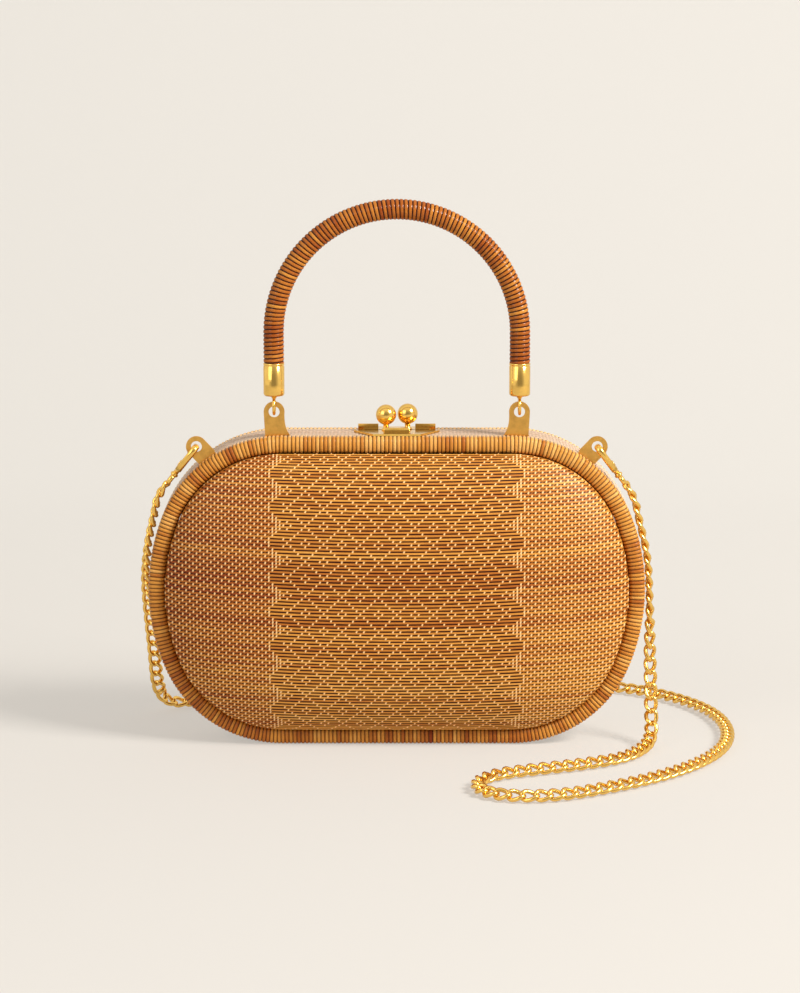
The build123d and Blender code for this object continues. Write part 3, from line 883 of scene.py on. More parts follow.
class BAG_OT_panels(Operator):
    """Weave the two panels"""

    bl_idname = "basket_bag.panels"
    bl_label = "Woven panels"

    def execute(self, context):
        material = reed_material(
            "panel_reed", streaks=(70, 70, 420), streak_share=0.5, groove_shade_share=1.0, gloss=0.15, coat=0.03
        )
        woven_panel(4).dress_halves("weave", "panel", "reed_panel", material)
        return {"FINISHED"}


def patches(wrap, share, turns):
    """How much browner a turn of wrapping is: two waves of different length make uneven patches."""
    return share * math.sin(wrap / turns[0]) * math.sin(wrap / turns[1])


def hoop_point(station, inset, out):
    """A point of the hoop, drawn in from a station of the outline, and so far in front of the seam."""
    x, z, nx, nz = station
    return Vector((x - nx * inset, -out, BAG_HEIGHT / 2 + z - nz * inset))


# One turn of the rim's wrapping along the hoop: (rise share, share of painted shade in the groove)
RIM_WAVE = ((0.0, 1.0), (0.72, 0.08), (1.0, 0.0), (0.72, 0.08))
# Tone of the rim's turns: the middle and the spread, then how it changes in patches, and painted light across
# and up the bag, paler to the right and the top
RIM_TONE = 0.43
RIM_TONE_SPREAD = 0.12
RIM_PATCH = 0.12
RIM_PATCH_TURNS = (7, 17)
RIM_LIGHT_ACROSS = 0.16
RIM_LIGHT_UP = 0.2


def wrapped_rim(seed):
    """The front rim: turns of reed side by side round the hoop."""
    sizes = settings().outline
    look = settings().rim
    outline = Outline(sizes)
    run = 2 * outline.half_run
    wraps = round(run / look.wrap_pitch)
    wide = sizes.rim_width
    front = HALF_DEPTH
    # Round the section: inset, distance from the seam, sinking inwards and back, painted shade, and share of
    # pale stake colour, laid on the outer face as a painted highlight
    sections = (
        (0.0, RIM_BACK, 1, 0, 0, 0.6),
        (0.0, front - 0.0032, 1, 0, 0, 0.5),
        (0.0005, front - 0.0013, 0.8, 0.5, 0, 0),
        (0.0018, front - 0.0002, 0.3, 1, 0, 0),
        (0.0040, front, 0, 1, 0, 0),
        (0.0062, front - 0.0003, 0, 1, 0.05, 0),
        (wide - 0.0006, front - 0.0012, -0.4, 0.7, 0.2, 0),
        (wide, front - 0.0026, 0, 0, 0.3, 0),
        (wide, RIM_BACK, 0, 0, 0.35, 0),
    )
    dice = random.Random(seed)
    tones = []
    for wrap in range(wraps):
        patch = patches(wrap, RIM_PATCH, RIM_PATCH_TURNS)
        x, z = outline.station(run * wrap / wraps)[:2]
        # Painted light: the rim is paler towards the lit right and top, darker towards the shaded left and
        # bottom
        patch -= RIM_LIGHT_ACROSS * x / BAG_WIDTH + RIM_LIGHT_UP * z / BAG_HEIGHT
        tones.append(min(max(dice.gauss(RIM_TONE, RIM_TONE_SPREAD) + patch, 0.1), 0.95))
    reed = ReedMesh()
    for wrap in range(wraps):
        for part, (rise, groove_shade) in enumerate(RIM_WAVE):
            station = outline.station(run * (wrap + part / len(RIM_WAVE)) / wraps)
            sink = (1 - rise) * look.wrap_height
            for inset, out, side, face, shade, pale in sections:
                point = hoop_point(station, inset + sink * side, out - sink * face)
                # The shade column is painted shade towards the panel, and the pale column a painted highlight
                # on the rim's outer face
                reed.add(point, tones[wrap], pale, min(groove_shade + shade, 1.0))
    reed.faces = ring_faces(wraps * len(RIM_WAVE), len(sections), True)
    return reed


class BAG_OT_rims(Operator):
    """Wrap the two rims in reed"""

    bl_idname = "basket_bag.rims"
    bl_label = "Wrapped rims"

    def execute(self, context):
        material = reed_material(
            "rim_reed", streaks=(160, 160, 160), streak_share=0.35, groove_shade_share=0.75, gloss=0.15, coat=0.05
        )
        wrapped_rim(11).dress_halves("wrapping", "rim", "reed_rim", material)
        return {"FINISHED"}


# How far the band's reed lies in from the outline, in its grooves and where it dips between stakes, in metres
BAND_GROOVE = 0.0004
BAND_DIP = 0.0002
# Tone of the band's rows and its spread, painted shade in the grooves between the rows, and tone and painted
# shade inside
BAND_TONE = 0.05
BAND_TONE_SPREAD = 0.25
BAND_ROW_SHADE = 0.75
BAND_INSIDE_TONE = 0.4
BAND_INSIDE_SHADE = 0.2
# The band is cut back for the hinge where the outline faces down, to this share of the leaf on each side
FACING_DOWN = -0.9
HINGE_REACH = 0.7


def woven_band(seed):
    """The front band: plain weave round the hoop, cut back for the hinge."""
    sizes = settings().outline
    look = settings().rim
    outline = Outline(sizes)
    run = 2 * outline.half_run
    stakes = 2 * round(run / look.band_pitch / 2)
    rows = look.band_rows
    leaf_low, leaf_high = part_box("hinge_front_leaf")
    recess = (leaf_high[0] - leaf_low[0]) * HINGE_REACH
    dice = random.Random(seed)
    tones = [BAND_TONE + BAND_TONE_SPREAD * dice.random() for _ in range(rows)]
    reed = ReedMesh()
    for step in range(2 * stakes):
        station = outline.station(run * step / (2 * stakes))
        at_hinge = station[3] < FACING_DOWN and abs(station[0]) < recess
        near = -leaf_low[1] if at_hinge else sizes.seam_face
        stake, between = divmod(step, 2)
        for level in range(2 * rows + 1):
            row, crest = divmod(level, 2)
            out = near + (RIM_BACK - near) * level / (2 * rows)
            over = not between and (stake + row) % 2 == 0
            if not crest:
                sink = BAND_GROOVE
            elif over:
                sink = 0.0
            else:
                sink = BAND_DIP if between else BAND_DIP / 2
            point = hoop_point(station, sink, out)
            stake_share = float(crest and over)
            reed.add(point, tones[min(row, rows - 1)], stake_share, 0.0 if crest else BAND_ROW_SHADE)
        for out in (RIM_BACK, near):
            point = hoop_point(station, sizes.rim_width, out)
            reed.add(point, BAND_INSIDE_TONE, 0.0, BAND_INSIDE_SHADE)
    reed.faces = flipped(ring_faces(2 * stakes, 2 * rows + 3, True))
    return reed


class BAG_OT_bands(Operator):
    """Weave the flat sides of the two hoops"""

    bl_idname = "basket_bag.bands"
    bl_label = "Woven bands"

    def execute(self, context):
        look = settings().rim
        material = reed_material(
            "band_reed", streaks=(120, 300, 120), streak_share=0.3, groove_shade_share=0.6, gloss=0.15, coat=0.03,
            sheen_wash=look.band_sheen_wash, sheen_wash_share=look.band_sheen_wash_share,
        )
        woven_band(23).dress_halves("side", "band", "reed_band", material)
        return {"FINISHED"}


class BAG_OT_linings(Operator):
    """Give the two cloth trays their plain cotton weave"""

    bl_idname = "basket_bag.linings"
    bl_label = "Linings"

    def execute(self, context):
        look = settings().lining
        shader = Shader("cotton_lining")
        place = shader.add("ShaderNodeTexCoord")
        threads = []
        for direction in ("X", "Z"):
            thread = shader.add("ShaderNodeTexWave", bands_direction=direction, Scale=420.0, Distortion=1.2)
            shader.join(place.outputs["Object"], thread.inputs["Vector"])
            threads.append(thread)
        cross = shader.add("ShaderNodeMath", operation="MAXIMUM")
        for thread, target in zip(threads, cross.inputs):
            shader.join(thread.outputs["Fac"], target)
        cloth = shader.add(
            "ShaderNodeMix", data_type="RGBA", A=(*look.shaded_thread, 1), B=(*look.light_thread, 1)
        )
        shader.join(cross.outputs[0], cloth.inputs["Factor"])
        shader.join(cloth.outputs["Result"], shader.surface.inputs["Base Color"])
        shader.relief(cross.outputs[0], 0.4, 0.0002)
        shader.tune(Roughness=0.9, Sheen_Weight=0.3)
        for node in ("front_lining", "back_lining"):
            dress_node(node, shader.material)
        return {"FINISHED"}


# Tone of the handle's turns: the middle and the spread, and how it changes in patches
GRIP_TONE = 0.66
GRIP_TONE_SPREAD = 0.08
GRIP_PATCH = 0.10
GRIP_PATCH_TURNS = (5, 13)
# How flat the wound reed is across: 1 is a plain arch, less is flatter
WOUND_POWER = 0.7


def wrapped_grip(seed):
    """The handle's grip: one reed wound round the arch from end to end."""
    sizes = settings().handle
    arch = sizes.span / 2
    foot = grip_low[2]
    arch_z = grip_high[2] - sizes.radius - arch
    leg = arch_z - foot
    run = 2 * leg + math.pi * arch
    wraps = round(run / sizes.wrap_pitch)
    parts = 5
    sides = 16
    dice = random.Random(seed)
    tones = []
    for wrap in range(wraps + 2):
        patch = patches(wrap, GRIP_PATCH, GRIP_PATCH_TURNS)
        tones.append(min(max(dice.gauss(GRIP_TONE, GRIP_TONE_SPREAD) + patch, 0.4), 1.0))
    reed = ReedMesh()
    count = wraps * parts + 1
    for i in range(count):
        along = run * i / (count - 1)
        angle = min(max((along - leg) / arch, 0), math.pi)
        down = max(leg - along, along - run + leg, 0)
        for k in range(sides):
            round_share = k / sides
            turn = i / parts + round_share
            crest = math.sin(math.pi * (turn % 1)) ** WOUND_POWER
            radius = sizes.radius - (1 - crest) * sizes.wrap_height
            reach = arch + radius * math.cos(2 * math.pi * round_share)
            y = TAB_Y + radius * math.sin(2 * math.pi * round_share)
            point = Vector((-reach * math.cos(angle), y, arch_z - down + reach * math.sin(angle)))
            # Painted shade in the grooves between the turns of the wound reed
            reed.add(point, tones[int(turn)], 0.0, max(0.0, 1 - crest))
    reed.faces = flipped(ring_faces(count, sides, False) + end_caps(len(reed.verts), sides))
    return reed


def ferrule_shape(foot, radius, tall):
    """A ferrule: a cup with a rounded foot and a groove turned below its lip."""
    profile = (
        (0.0012, 0.0),
        (radius - 0.0012, 0.0),
        (radius - 0.0006, 0.0001),
        (radius - 0.00015, 0.0006),
        (radius, 0.0012),
        (radius, tall - 0.0016),
        (radius - 0.0002, tall - 0.0014),
        (radius - 0.0002, tall - 0.0011),
        (radius, tall - 0.0009),
        (radius, tall - 0.0003),
        (radius - 0.0003, tall),
        (0.001, tall),
    )
    return lathe(profile, 40, Matrix.Translation(foot))


def eye_shape(side, ferrule_foot):
    """An eye: a ring of wire on a neck that widens up to the ferrule."""
    low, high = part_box(f"eye_{side}")
    wire = 0.00075
    ring = (high[1] - low[1]) / 2 - wire
    centre = Vector((ferrule_foot.x, ferrule_foot.y, low[2] + ring + wire))
    circle = []
    for angle in full_turn(36):
        circle.append(centre + Vector((0, ring * math.cos(angle), ring * math.sin(angle))))
    loop = rod(circle, wire, wire, 12, Vector((1, 0, 0)), True)
    neck_foot = centre + Vector((0, 0, ring))
    rise = ferrule_foot.z - neck_foot.z
    profile = ((0.0009, 0.0), (0.0012, 0.0004), (0.0012, rise * 0.6), (0.0019, rise * 0.8), (0.0019, rise))
    return joined(loop, lathe(profile, 20, Matrix.Translation(neck_foot)))


class BAG_OT_handle(Operator):
    """Wind the handle's grip and turn its ferrules and eyes"""

    bl_idname = "basket_bag.handle"
    bl_label = "Handle"

    def execute(self, context):
        material = reed_material(
            "handle_reed", streaks=(200, 200, 200), streak_share=0.35, groove_shade_share=1.0, gloss=0.0, coat=0.35
        )
        reed = wrapped_grip(31)
        grip = make_piece("grip_wrapping", reed.verts, reed.faces, "handle", material, reed.layers)
        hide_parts("handle_grip")
        for side in ("left", "right"):
            foot, radius, tall = round_box(f"ferrule_{side}")
            brass_piece(f"ferrule_cap_{side}", f"ferrule_{side}", "handle", ferrule_shape(foot, radius, tall))
            brass_piece(f"eye_ring_{side}", f"eye_{side}", "handle", eye_shape(side, foot))
        return {"FINISHED"}


class BAG_OT_tabs(Operator):
    """Finish the four stamped tabs"""

    bl_idname = "basket_bag.tabs"
    bl_label = "Tabs"

    def execute(self, context):
        for node in ("handle_tab_left", "handle_tab_right", "chain_tab_left", "chain_tab_right"):
            dress_node(node, satin_brass(), STAMPED_EDGE)
        return {"FINISHED"}


def ball_shape(foot, radius, tall):
    """A ball of the clasp on its short post."""
    centre = tall - radius
    post = 0.0013
    profile = [(post + 0.0008, 0.0), (post + 0.0008, 0.0004), (post, 0.0010)]
    start = math.asin(post / radius)
    steps = 24
    for k in range(steps + 1):
        angle = start + (math.pi - start - 0.02) * k / steps
        profile.append((radius * math.sin(angle), centre - radius * math.cos(angle)))
    return lathe(profile, 40, Matrix.Translation(foot))


class BAG_OT_clasp(Operator):
    """Turn the two balls of the kiss clasp and finish its plates"""

    bl_idname = "basket_bag.clasp"
    bl_label = "Kiss clasp"

    def execute(self, context):
        for half in ("front", "back"):
            ball = ball_shape(*round_box(f"clasp_{half}_ball"))
            brass_piece(f"clasp_{half}_bead", f"clasp_{half}_ball", f"{half}_shell", ball)
            dress_node(f"clasp_{half}_plate", polished_brass(), STAMPED_EDGE)
        return {"FINISHED"}


class BAG_OT_hinge(Operator):
    """Finish the bottom hinge"""

    bl_idname = "basket_bag.hinge"
    bl_label = "Hinge"

    def execute(self, context):
        for node in ("hinge_front_leaf", "hinge_back_leaf", "hinge_pin"):
            dress_node(node, satin_brass())
        return {"FINISHED"}


def clip_place(side):
    """Where a clip hangs in its chain tab: along its length in X, to its gate side in Y."""
    sizes = settings().clip
    drop = sizes.right_drop if side > 0 else sizes.left_drop
    along = Vector((side * math.cos(drop), 0, -math.sin(drop)))
    normal = Vector((math.sin(drop), 0, side * math.cos(drop)))
    place = Matrix((along, normal.cross(along), normal)).transposed().to_4x4()
    place.translation = Vector((side * sizes.hole_x, TAB_Y, sizes.hole_z))
    return place


def placed(place, shape):
    """A (points, faces) shape put in place."""
    verts, faces = shape
    return [place @ v for v in verts], faces


# The clips lie flat in their own X and Y; turned parts run along X
CLIP_FLAT = Vector((0, 0, 1))
CLIP_ALONG = Matrix.Rotation(math.pi / 2, 4, "Y")
# Sizes of the clips that follow no other size, in metres
BILL_LENGTH = 0.0056
HOOK_BEND = 0.0030
HOOK_WIDE = 0.00105
HOOK_DEEP = 0.00155
BASE_LENGTH = 0.0035
BASE_OVERLAP = 0.0018
BASE_FLATTENING = 0.36
CHEEK_FEET = (0.00095, -0.0016)
GATE_START = 0.0058
GATE_PAST_PIVOT = 0.0011
GATE_RADIUS = 0.0009
EYE_HALF_WIDTH = 0.00245
EYE_BEND = 0.0018
EYE_WIDE = 0.00075
EYE_DEEP = 0.0011


def hook_shape(sizes):
    """The bent bar of a hook, with its base and the two cheeks that hold the gate."""
    half = sizes.half_width
    base_start = sizes.base_end - BASE_LENGTH
    bar_end = base_start + BASE_OVERLAP
    corners = [Vector((x, y, 0)) for x, y in ((BILL_LENGTH, half), (0, half), (0, -half), (bar_end, -half))]
    bar = rod(rounded(corners, HOOK_BEND, 6, False), HOOK_WIDE, HOOK_DEEP, 14, CLIP_FLAT)
    profile = (
        (0.0030, 0.0),
        (0.0043, 0.0004),
        (0.0045, 0.0012),
        (0.0040, BASE_LENGTH - 0.0010),
        (0.0028, BASE_LENGTH - 0.0003),
        (0.0018, BASE_LENGTH),
    )
    flattened = Matrix.Diagonal((1, 1, BASE_FLATTENING, 1))
    base = lathe(profile, 24, Matrix.Translation((base_start, 0, 0)) @ flattened @ CLIP_ALONG)
    disc = ((0.0014, 0.0), (0.0016, 0.0001), (0.0016, 0.00055), (0.0014, 0.00065))
    cheeks = [lathe(disc, 20, Matrix.Translation((sizes.pivot, half, foot))) for foot in CHEEK_FEET]
    return joined(bar, base, *cheeks)


def gate_shape(sizes):
    """The straight gate of a hook, with the knuckle that it turns on."""
    half = sizes.half_width
    ends = [Vector((x, half, 0)) for x in (GATE_START, sizes.pivot + GATE_PAST_PIVOT)]
    bar = rod(ends, GATE_RADIUS, GATE_RADIUS, 14, CLIP_FLAT)
    profile = ((0.0010, 0.0), (0.0012, 0.0001), (0.0012, 0.0017), (0.0010, 0.0018))
    return joined(bar, lathe(profile, 18, Matrix.Translation((sizes.pivot, half, -0.0009))))


def swivel_shape(sizes):
    """The neck of a swivel and the eye that holds the chain."""
    profile = ((0.0013, 0.0), (0.0013, 0.0012), (0.0019, 0.0016), (0.0019, 0.0024), (0.0013, 0.0030))
    neck = lathe(profile, 20, Matrix.Translation((sizes.base_end - 0.0006, 0, 0)) @ CLIP_ALONG)
    near = sizes.base_end + 0.00225
    far = sizes.swivel_end - EYE_WIDE
    half = EYE_HALF_WIDTH
    corners = [Vector((x, y, 0)) for x, y in ((near, half), (near, -half), (far, -half), (far, half))]
    return joined(neck, rod(rounded(corners, EYE_BEND, 5, True), EYE_WIDE, EYE_DEEP, 12, CLIP_FLAT, True))


class BAG_OT_clips(Operator):
    """Bend the two snap hooks, with their gates and swivels"""

    bl_idname = "basket_bag.clips"
    bl_label = "Snap hooks"

    def execute(self, context):
        sizes = settings().clip
        for side, word in ((-1, "left"), (1, "right")):
            parts = (
                ("body", "hook", "front_shell", hook_shape(sizes)),
                ("latch", "gate", f"{word}_gate", gate_shape(sizes)),
                ("eye", "swivel", "front_shell", swivel_shape(sizes)),
            )
            place = clip_place(side)
            for piece, node, body, shape in parts:
                brass_piece(f"clip_{word}_{piece}", f"clip_{word}_{node}", body, placed(place, shape))
        return {"FINISHED"}


# The strap's way from the right clip to the left one, in metres
STRAP_WAY = (
    (0.1146, -0.0100, 0.1070), (0.1189, -0.0106, 0.0899), (0.1201, -0.0100, 0.0692),
    (0.1203, -0.0094, 0.0482), (0.1208, -0.0100, 0.0313), (0.1211, -0.0125, 0.0168),
    (0.1209, -0.0200, 0.0062), (0.1175, -0.0330, 0.0032), (0.1060, -0.0540, 0.0032),
    (0.0850, -0.0665, 0.0032), (0.0620, -0.0760, 0.0032), (0.0450, -0.0840, 0.0032),
    (0.0360, -0.0970, 0.0032), (0.0370, -0.1130, 0.0032), (0.0500, -0.1225, 0.0032),
    (0.0710, -0.1215, 0.0032), (0.0940, -0.1080, 0.0032), (0.1170, -0.0900, 0.0032),
    (0.1380, -0.0665, 0.0032), (0.1535, -0.0370, 0.0032), (0.1595, -0.0040, 0.0032),
    (0.1575, 0.0270, 0.0032), (0.1485, 0.0530, 0.0032), (0.1310, 0.0770, 0.0032),
    (0.1070, 0.0930, 0.0032), (0.0770, 0.1040, 0.0032), (0.0440, 0.1100, 0.0032),
    (0.0080, 0.1110, 0.0032), (-0.0290, 0.1050, 0.0032), (-0.0620, 0.0900, 0.0032),
    (-0.0850, 0.0708, 0.0032), (-0.1005, 0.0595, 0.0032), (-0.1140, 0.0525, 0.0040),
    (-0.1184, 0.0440, 0.0140), (-0.1188, 0.0350, 0.0330), (-0.1202, 0.0260, 0.0540),
    (-0.1211, 0.0160, 0.0740), (-0.1193, 0.0050, 0.0925), (-0.1152, -0.0035, 0.1083),
)
# How far the strap runs straight out of a swivel, in metres
STRAP_LEAD = 0.007
# Which way the links' flat side faces, at shares of the strap's length
STRAP_FACING = (
    (0.0, (1, 0, 0)), (0.06, (1, -0.1, 0)), (0.09, (0.5, -0.86, 0)),
    (0.125, (0, -1, 0.1)), (0.16, (0, -0.5, 0.87)), (0.84, (0, -0.5, 0.87)),
    (0.88, (0, -1, 0.1)), (0.93, (-0.7, -0.7, 0)), (0.96, (-1, -0.1, 0)),
    (1.0, (-1, 0, 0)),
)


def strap_facing(share):
    """The way that the links' flat side faces at a share of the strap's length."""
    for (start, before), (end, after) in zip(STRAP_FACING, STRAP_FACING[1:]):
        if share <= end:
            return Vector(before).lerp(Vector(after), (share - start) / (end - start))
    return Vector(STRAP_FACING[-1][1])


def strap_line():
    """Points of the strap's smooth line, read from a spline with no thickness."""
    end = settings().clip.swivel_end
    right = [clip_place(1) @ Vector((end + out, 0, 0)) for out in (0, STRAP_LEAD)]
    left = [clip_place(-1) @ Vector((end + out, 0, 0)) for out in (STRAP_LEAD, 0)]
    points = [*right, *(Vector(p) for p in STRAP_WAY), *left]
    curve = bpy.data.curves.new("strap_line", "CURVE")
    curve.dimensions = "3D"
    curve.resolution_u = 12
    spline = curve.splines.new("NURBS")
    spline.points.add(len(points) - 1)
    for control, point in zip(spline.points, points):
        control.co = (*point, 1)
    spline.order_u = 3
    spline.use_endpoint_u = True
    holder = bpy.data.objects.new("strap_line", curve)
    mesh = bpy.data.meshes.new_from_object(holder)
    line = [v.co.copy() for v in mesh.vertices]
    bpy.data.objects.remove(holder)
    bpy.data.curves.remove(curve)
    bpy.data.meshes.remove(mesh)
    return line


def line_runs(line):
    """Distance along a line to each of its points."""
    runs = [0.0]
    for a, b in zip(line, line[1:]):
        runs.append(runs[-1] + (b - a).length)
    return runs


def along_line(line, runs, count):
    """Places and directions evenly spread along a line."""
    places = []
    i = 0
    for k in range(count):
        run = runs[-1] * (k + 0.5) / count
        while runs[i + 1] < run:
            i += 1
        share = (run - runs[i]) / (runs[i + 1] - runs[i])
        places.append((line[i].lerp(line[i + 1], share), (line[i + 1] - line[i]).normalized()))
    return places


# How far a curb link is twisted, and how square its ends are
LINK_TWIST = math.radians(48)
LINK_POWER = 0.8


def chain_link(here, ahead, facing, sizes):
    """Points and faces of one twisted link, along a direction and with its flat side facing another."""
    wire = sizes.wire / 2
    long = sizes.link_length / 2 - wire
    wide = sizes.link_width / 2 - wire
    steps = 20
    sides = 8
    up = (facing - ahead * facing.dot(ahead)).normalized()
    aside = ahead.cross(up)
    loop = []
    for angle in full_turn(steps):
        twist = LINK_TWIST * math.cos(angle)
        across = wide * math.sin(angle)
        reach = long * math.copysign(abs(math.cos(angle)) ** LINK_POWER, math.cos(angle))
        side_step = aside * (across * math.cos(twist))
        loop.append(here + ahead * reach + side_step + up * (across * math.sin(twist)))
    verts = []
    for k, point in enumerate(loop):
        run = (loop[(k + 1) % steps] - loop[k - 1]).normalized()
        out = (point - here - run * (point - here).dot(run)).normalized()
        over = run.cross(out)
        for turn in full_turn(sides):
            verts.append(point + out * (wire * math.cos(turn)) + over * (wire * math.sin(turn)))
    return verts, ring_faces(steps, sides, True)


class BAG_OT_strap(Operator):
    """Link the chain strap along its way"""

    bl_idname = "basket_bag.strap"
    bl_label = "Chain strap"

    def execute(self, context):
        sizes = settings().chain
        line = strap_line()
        runs = line_runs(line)
        total = runs[-1]
        places = along_line(line, runs, round(total / sizes.link_pitch))
        links = []
        for i, (here, ahead) in enumerate(places):
            links.append(chain_link(here, ahead, strap_facing(i / len(places)), sizes))
        chain = brass_piece("strap_links", "chain_strap", "front_shell", joined(*links))
        return {"FINISHED"}


# Tint of the soft light, and how bright the world is where the picture shows it
SKY_TINT = (1.0, 0.97, 0.93)
SEEN_SKY = 0.82


def studio_world():
    """Soft light all round: pale in the picture, and a bright room in metal, darker in front of the bag."""
    world = bpy.data.worlds.new("studio")
    world.use_nodes = True
    tree = world.node_tree
    sky = tree.nodes["Background"]
    sky.inputs["Color"].default_value = (*SKY_TINT, 1)
    place = add_node(tree, "ShaderNodeTexCoord")
    parts = add_node(tree, "ShaderNodeSeparateXYZ")
    tree.links.new(place.outputs["Generated"], parts.inputs[0])
    room = add_node(tree, "ShaderNodeMapRange", From_Min=-0.95, From_Max=-0.55, To_Min=0.35, To_Max=1.0)
    tree.links.new(parts.outputs["Y"], room.inputs["Value"])
    rays = add_node(tree, "ShaderNodeLightPath")
    strength = add_node(tree, "ShaderNodeMix", A=settings().stage.sky_strength)
    tree.links.new(rays.outputs["Is Glossy Ray"], strength.inputs["Factor"])
    tree.links.new(room.outputs["Result"], strength.inputs["B"])
    pale = add_node(tree, "ShaderNodeMix", B=SEEN_SKY)
    tree.links.new(rays.outputs["Is Camera Ray"], pale.inputs["Factor"])
    tree.links.new(strength.outputs["Result"], pale.inputs["A"])
    tree.links.new(pale.outputs["Result"], sky.inputs["Strength"])
    return world


def paper_material():
    """Matt studio paper with an even glow in the picture and in metal; clear from behind."""
    look = settings().stage
    shader = Shader("studio_paper")
    place = shader.add("ShaderNodeTexCoord")
    fibre = shader.add("ShaderNodeTexNoise", Scale=900.0, Detail=2.0)
    shader.join(place.outputs["Object"], fibre.inputs["Vector"])
    shader.relief(fibre.outputs["Fac"], 0.02, 0.0002)
    shader.tune(Base_Color=(*look.paper, 1), Roughness=0.9, Specular_IOR_Level=0.1)
    rays = shader.add("ShaderNodeLightPath")
    seen = rays.outputs["Is Camera Ray"]
    for kind in ("Is Glossy Ray", "Is Transmission Ray"):
        either = shader.add("ShaderNodeMath", operation="MAXIMUM")
        shader.join(seen, either.inputs[0])
        shader.join(rays.outputs[kind], either.inputs[1])
        seen = either.outputs[0]
    share = shader.add("ShaderNodeMath", operation="MULTIPLY")
    share.inputs[1].default_value = look.glow_share
    shader.join(seen, share.inputs[0])
    parts = shader.add("ShaderNodeSeparateXYZ")
    shader.join(place.outputs["Object"], parts.inputs[0])
    behind = shader.add("ShaderNodeMapRange", From_Max=0.7)
    shader.join(parts.outputs["Y"], behind.inputs["Value"])
    shade = shader.add("ShaderNodeMix", data_type="RGBA", A=(*look.glow, 1), B=(*look.far_glow, 1))
    shader.join(behind.outputs["Result"], shade.inputs["Factor"])
    glow = shader.add("ShaderNodeEmission", Strength=1.0)
    shader.join(shade.outputs["Result"], glow.inputs["Color"])
    mixed = shader.add("ShaderNodeMixShader")
    shader.join(share.outputs[0], mixed.inputs["Fac"])
    shader.join(shader.surface.outputs["BSDF"], mixed.inputs[1])
    shader.join(glow.outputs["Emission"], mixed.inputs[2])
    sides = shader.add("ShaderNodeNewGeometry")
    clear = shader.add("ShaderNodeBsdfTransparent")
    front = shader.add("ShaderNodeMixShader")
    shader.join(sides.outputs["Backfacing"], front.inputs["Fac"])
    shader.join(mixed.outputs["Shader"], front.inputs[1])
    shader.join(clear.outputs["BSDF"], front.inputs[2])
    shader.join(front.outputs["Shader"], shader.tree.nodes["Material Output"].inputs["Surface"])
    return shader.material


# The paper sweep, in metres: near edge, start and radius of its rise, top, and half its width
PAPER_NEAR = -2.0
PAPER_RISE = 0.6
PAPER_RADIUS = 0.8
PAPER_TOP = 2.6
PAPER_HALF_WIDTH = 2.6


def paper_sweep():
    """The paper that the bag stands on, rising in a curve behind it."""
    profile = [(PAPER_NEAR, 0.0), (PAPER_RISE, 0.0)]
    steps = 16
    for k in range(1, steps + 1):
        angle = math.pi / 2 * k / steps
        y = PAPER_RISE + PAPER_RADIUS * math.sin(angle)
        profile.append((y, PAPER_RADIUS - PAPER_RADIUS * math.cos(angle)))
    profile.append((PAPER_RISE + PAPER_RADIUS, PAPER_TOP))
    verts = [(x, y, z) for y, z in profile for x in (-PAPER_HALF_WIDTH, PAPER_HALF_WIDTH)]
    faces = [(2 * i, 2 * i + 1, 2 * i + 3, 2 * i + 2) for i in range(len(profile) - 1)]
    mesh = bpy.data.meshes.new("paper_sweep")
    mesh.from_pydata(verts, [], faces)
    mesh.polygons.foreach_set("use_smooth", [True] * len(mesh.polygons))
    mesh.materials.append(paper_material())
    paper = bpy.data.objects.new("paper_sweep", mesh)
    bpy.context.scene.collection.objects.link(paper)


# What the lamps point at, and the camera's place, tilt from straight down, lens and film width in millimetres
LAMP_AIM = Vector((0, 0, 0.09))
CAMERA_PLACE = (0.0015, -1.468, 0.367)
CAMERA_TILT = math.radians(80.33)
CAMERA_LENS = 113.65
CAMERA_FILM = 36.0


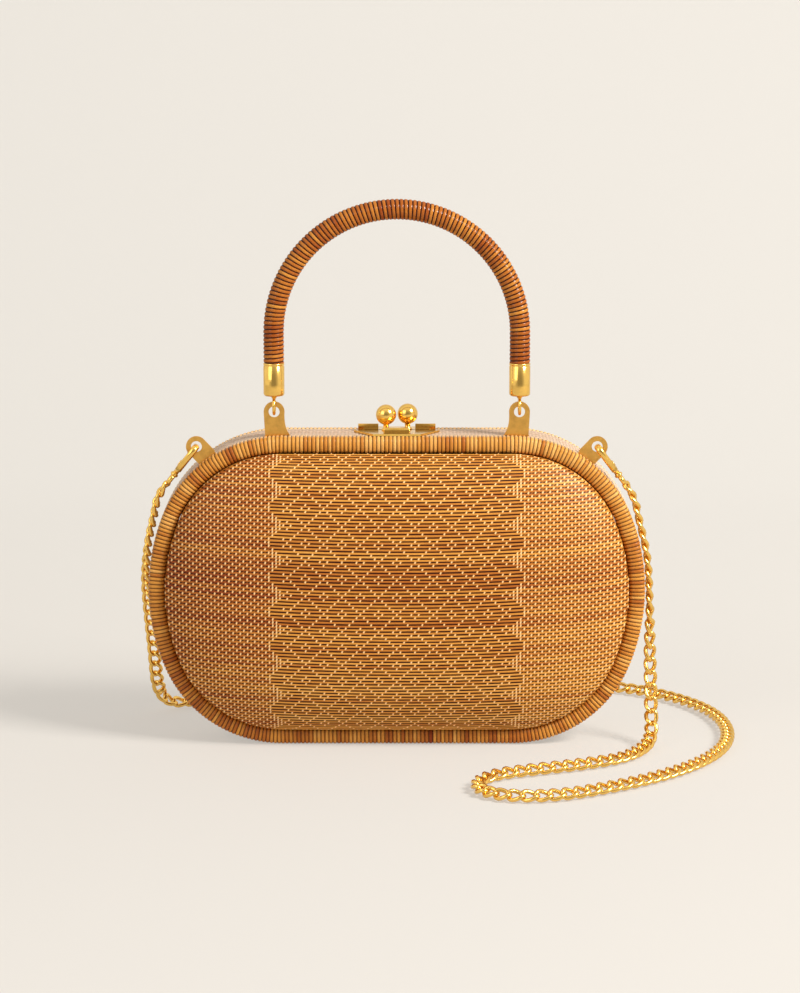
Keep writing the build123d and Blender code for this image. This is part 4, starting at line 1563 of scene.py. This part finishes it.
def add_lamp(name, place, size, watts, tint):
    """A square area lamp that points at the bag."""
    light = bpy.data.lights.new(name, "AREA")
    light.shape = "SQUARE"
    light.size = size
    light.energy = watts
    light.color = tint
    lamp = bpy.data.objects.new(name, light)
    lamp.location = place
    lamp.rotation_euler = (LAMP_AIM - Vector(place)).to_track_quat("-Z", "Y").to_euler()
    bpy.context.scene.collection.objects.link(lamp)


class BAG_OT_stage(Operator):
    """Set up the paper floor, the studio light and the camera"""

    bl_idname = "basket_bag.stage"
    bl_label = "Stage"

    def execute(self, context):
        scene = context.scene
        look = settings().stage
        scene.view_settings.view_transform = "Standard"
        paper_sweep()
        scene.world = studio_world()
        add_lamp("key", (1.48, -1.0, 1.55), 0.75, look.key_power, SKY_TINT)
        add_lamp("fill", (-1.1, -1.2, 0.9), 1.0, look.fill_power, (1.0, 0.98, 0.96))
        lens = bpy.data.cameras.new("photo_view")
        lens.lens = CAMERA_LENS
        lens.sensor_width = CAMERA_FILM
        camera = bpy.data.objects.new("photo_view", lens)
        camera.location = CAMERA_PLACE
        camera.rotation_euler = (CAMERA_TILT, 0, 0)
        scene.collection.objects.link(camera)
        scene.camera = camera
        return {"FINISHED"}


OPERATORS = (
    BAG_OT_stage, BAG_OT_strap, BAG_OT_clips, BAG_OT_panels, BAG_OT_rims, BAG_OT_bands, BAG_OT_linings,
    BAG_OT_handle, BAG_OT_tabs, BAG_OT_clasp, BAG_OT_hinge,
)


class BAG_PT_pieces(Panel):
    """Lists the bag's pieces"""

    bl_idname = "BAG_PT_pieces"
    bl_label = "Basket Bag"
    bl_space_type = "VIEW_3D"
    bl_region_type = "UI"
    bl_category = "Basket Bag"

    def draw(self, context):
        for operator in OPERATORS:
            self.layout.operator(operator.bl_idname)


CLASSES = (
    OutlineSettings, WeaveSettings, RimSettings, LiningSettings, HandleSettings, ChainSettings, ClipSettings,
    BrassSettings, StageSettings, BagSettings, *OPERATORS, BAG_PT_pieces,
)


def register():
    for cls in CLASSES:
        bpy.utils.register_class(cls)
    bpy.types.Scene.basket_bag = PointerProperty(type=BagSettings)


def unregister():
    del bpy.types.Scene.basket_bag
    for cls in reversed(CLASSES):
        bpy.utils.unregister_class(cls)


def main():
    register()
    for operator in OPERATORS:
        group, name = operator.bl_idname.split(".")
        getattr(getattr(bpy.ops, group), name)()


if __name__ == "__main__":
    main()
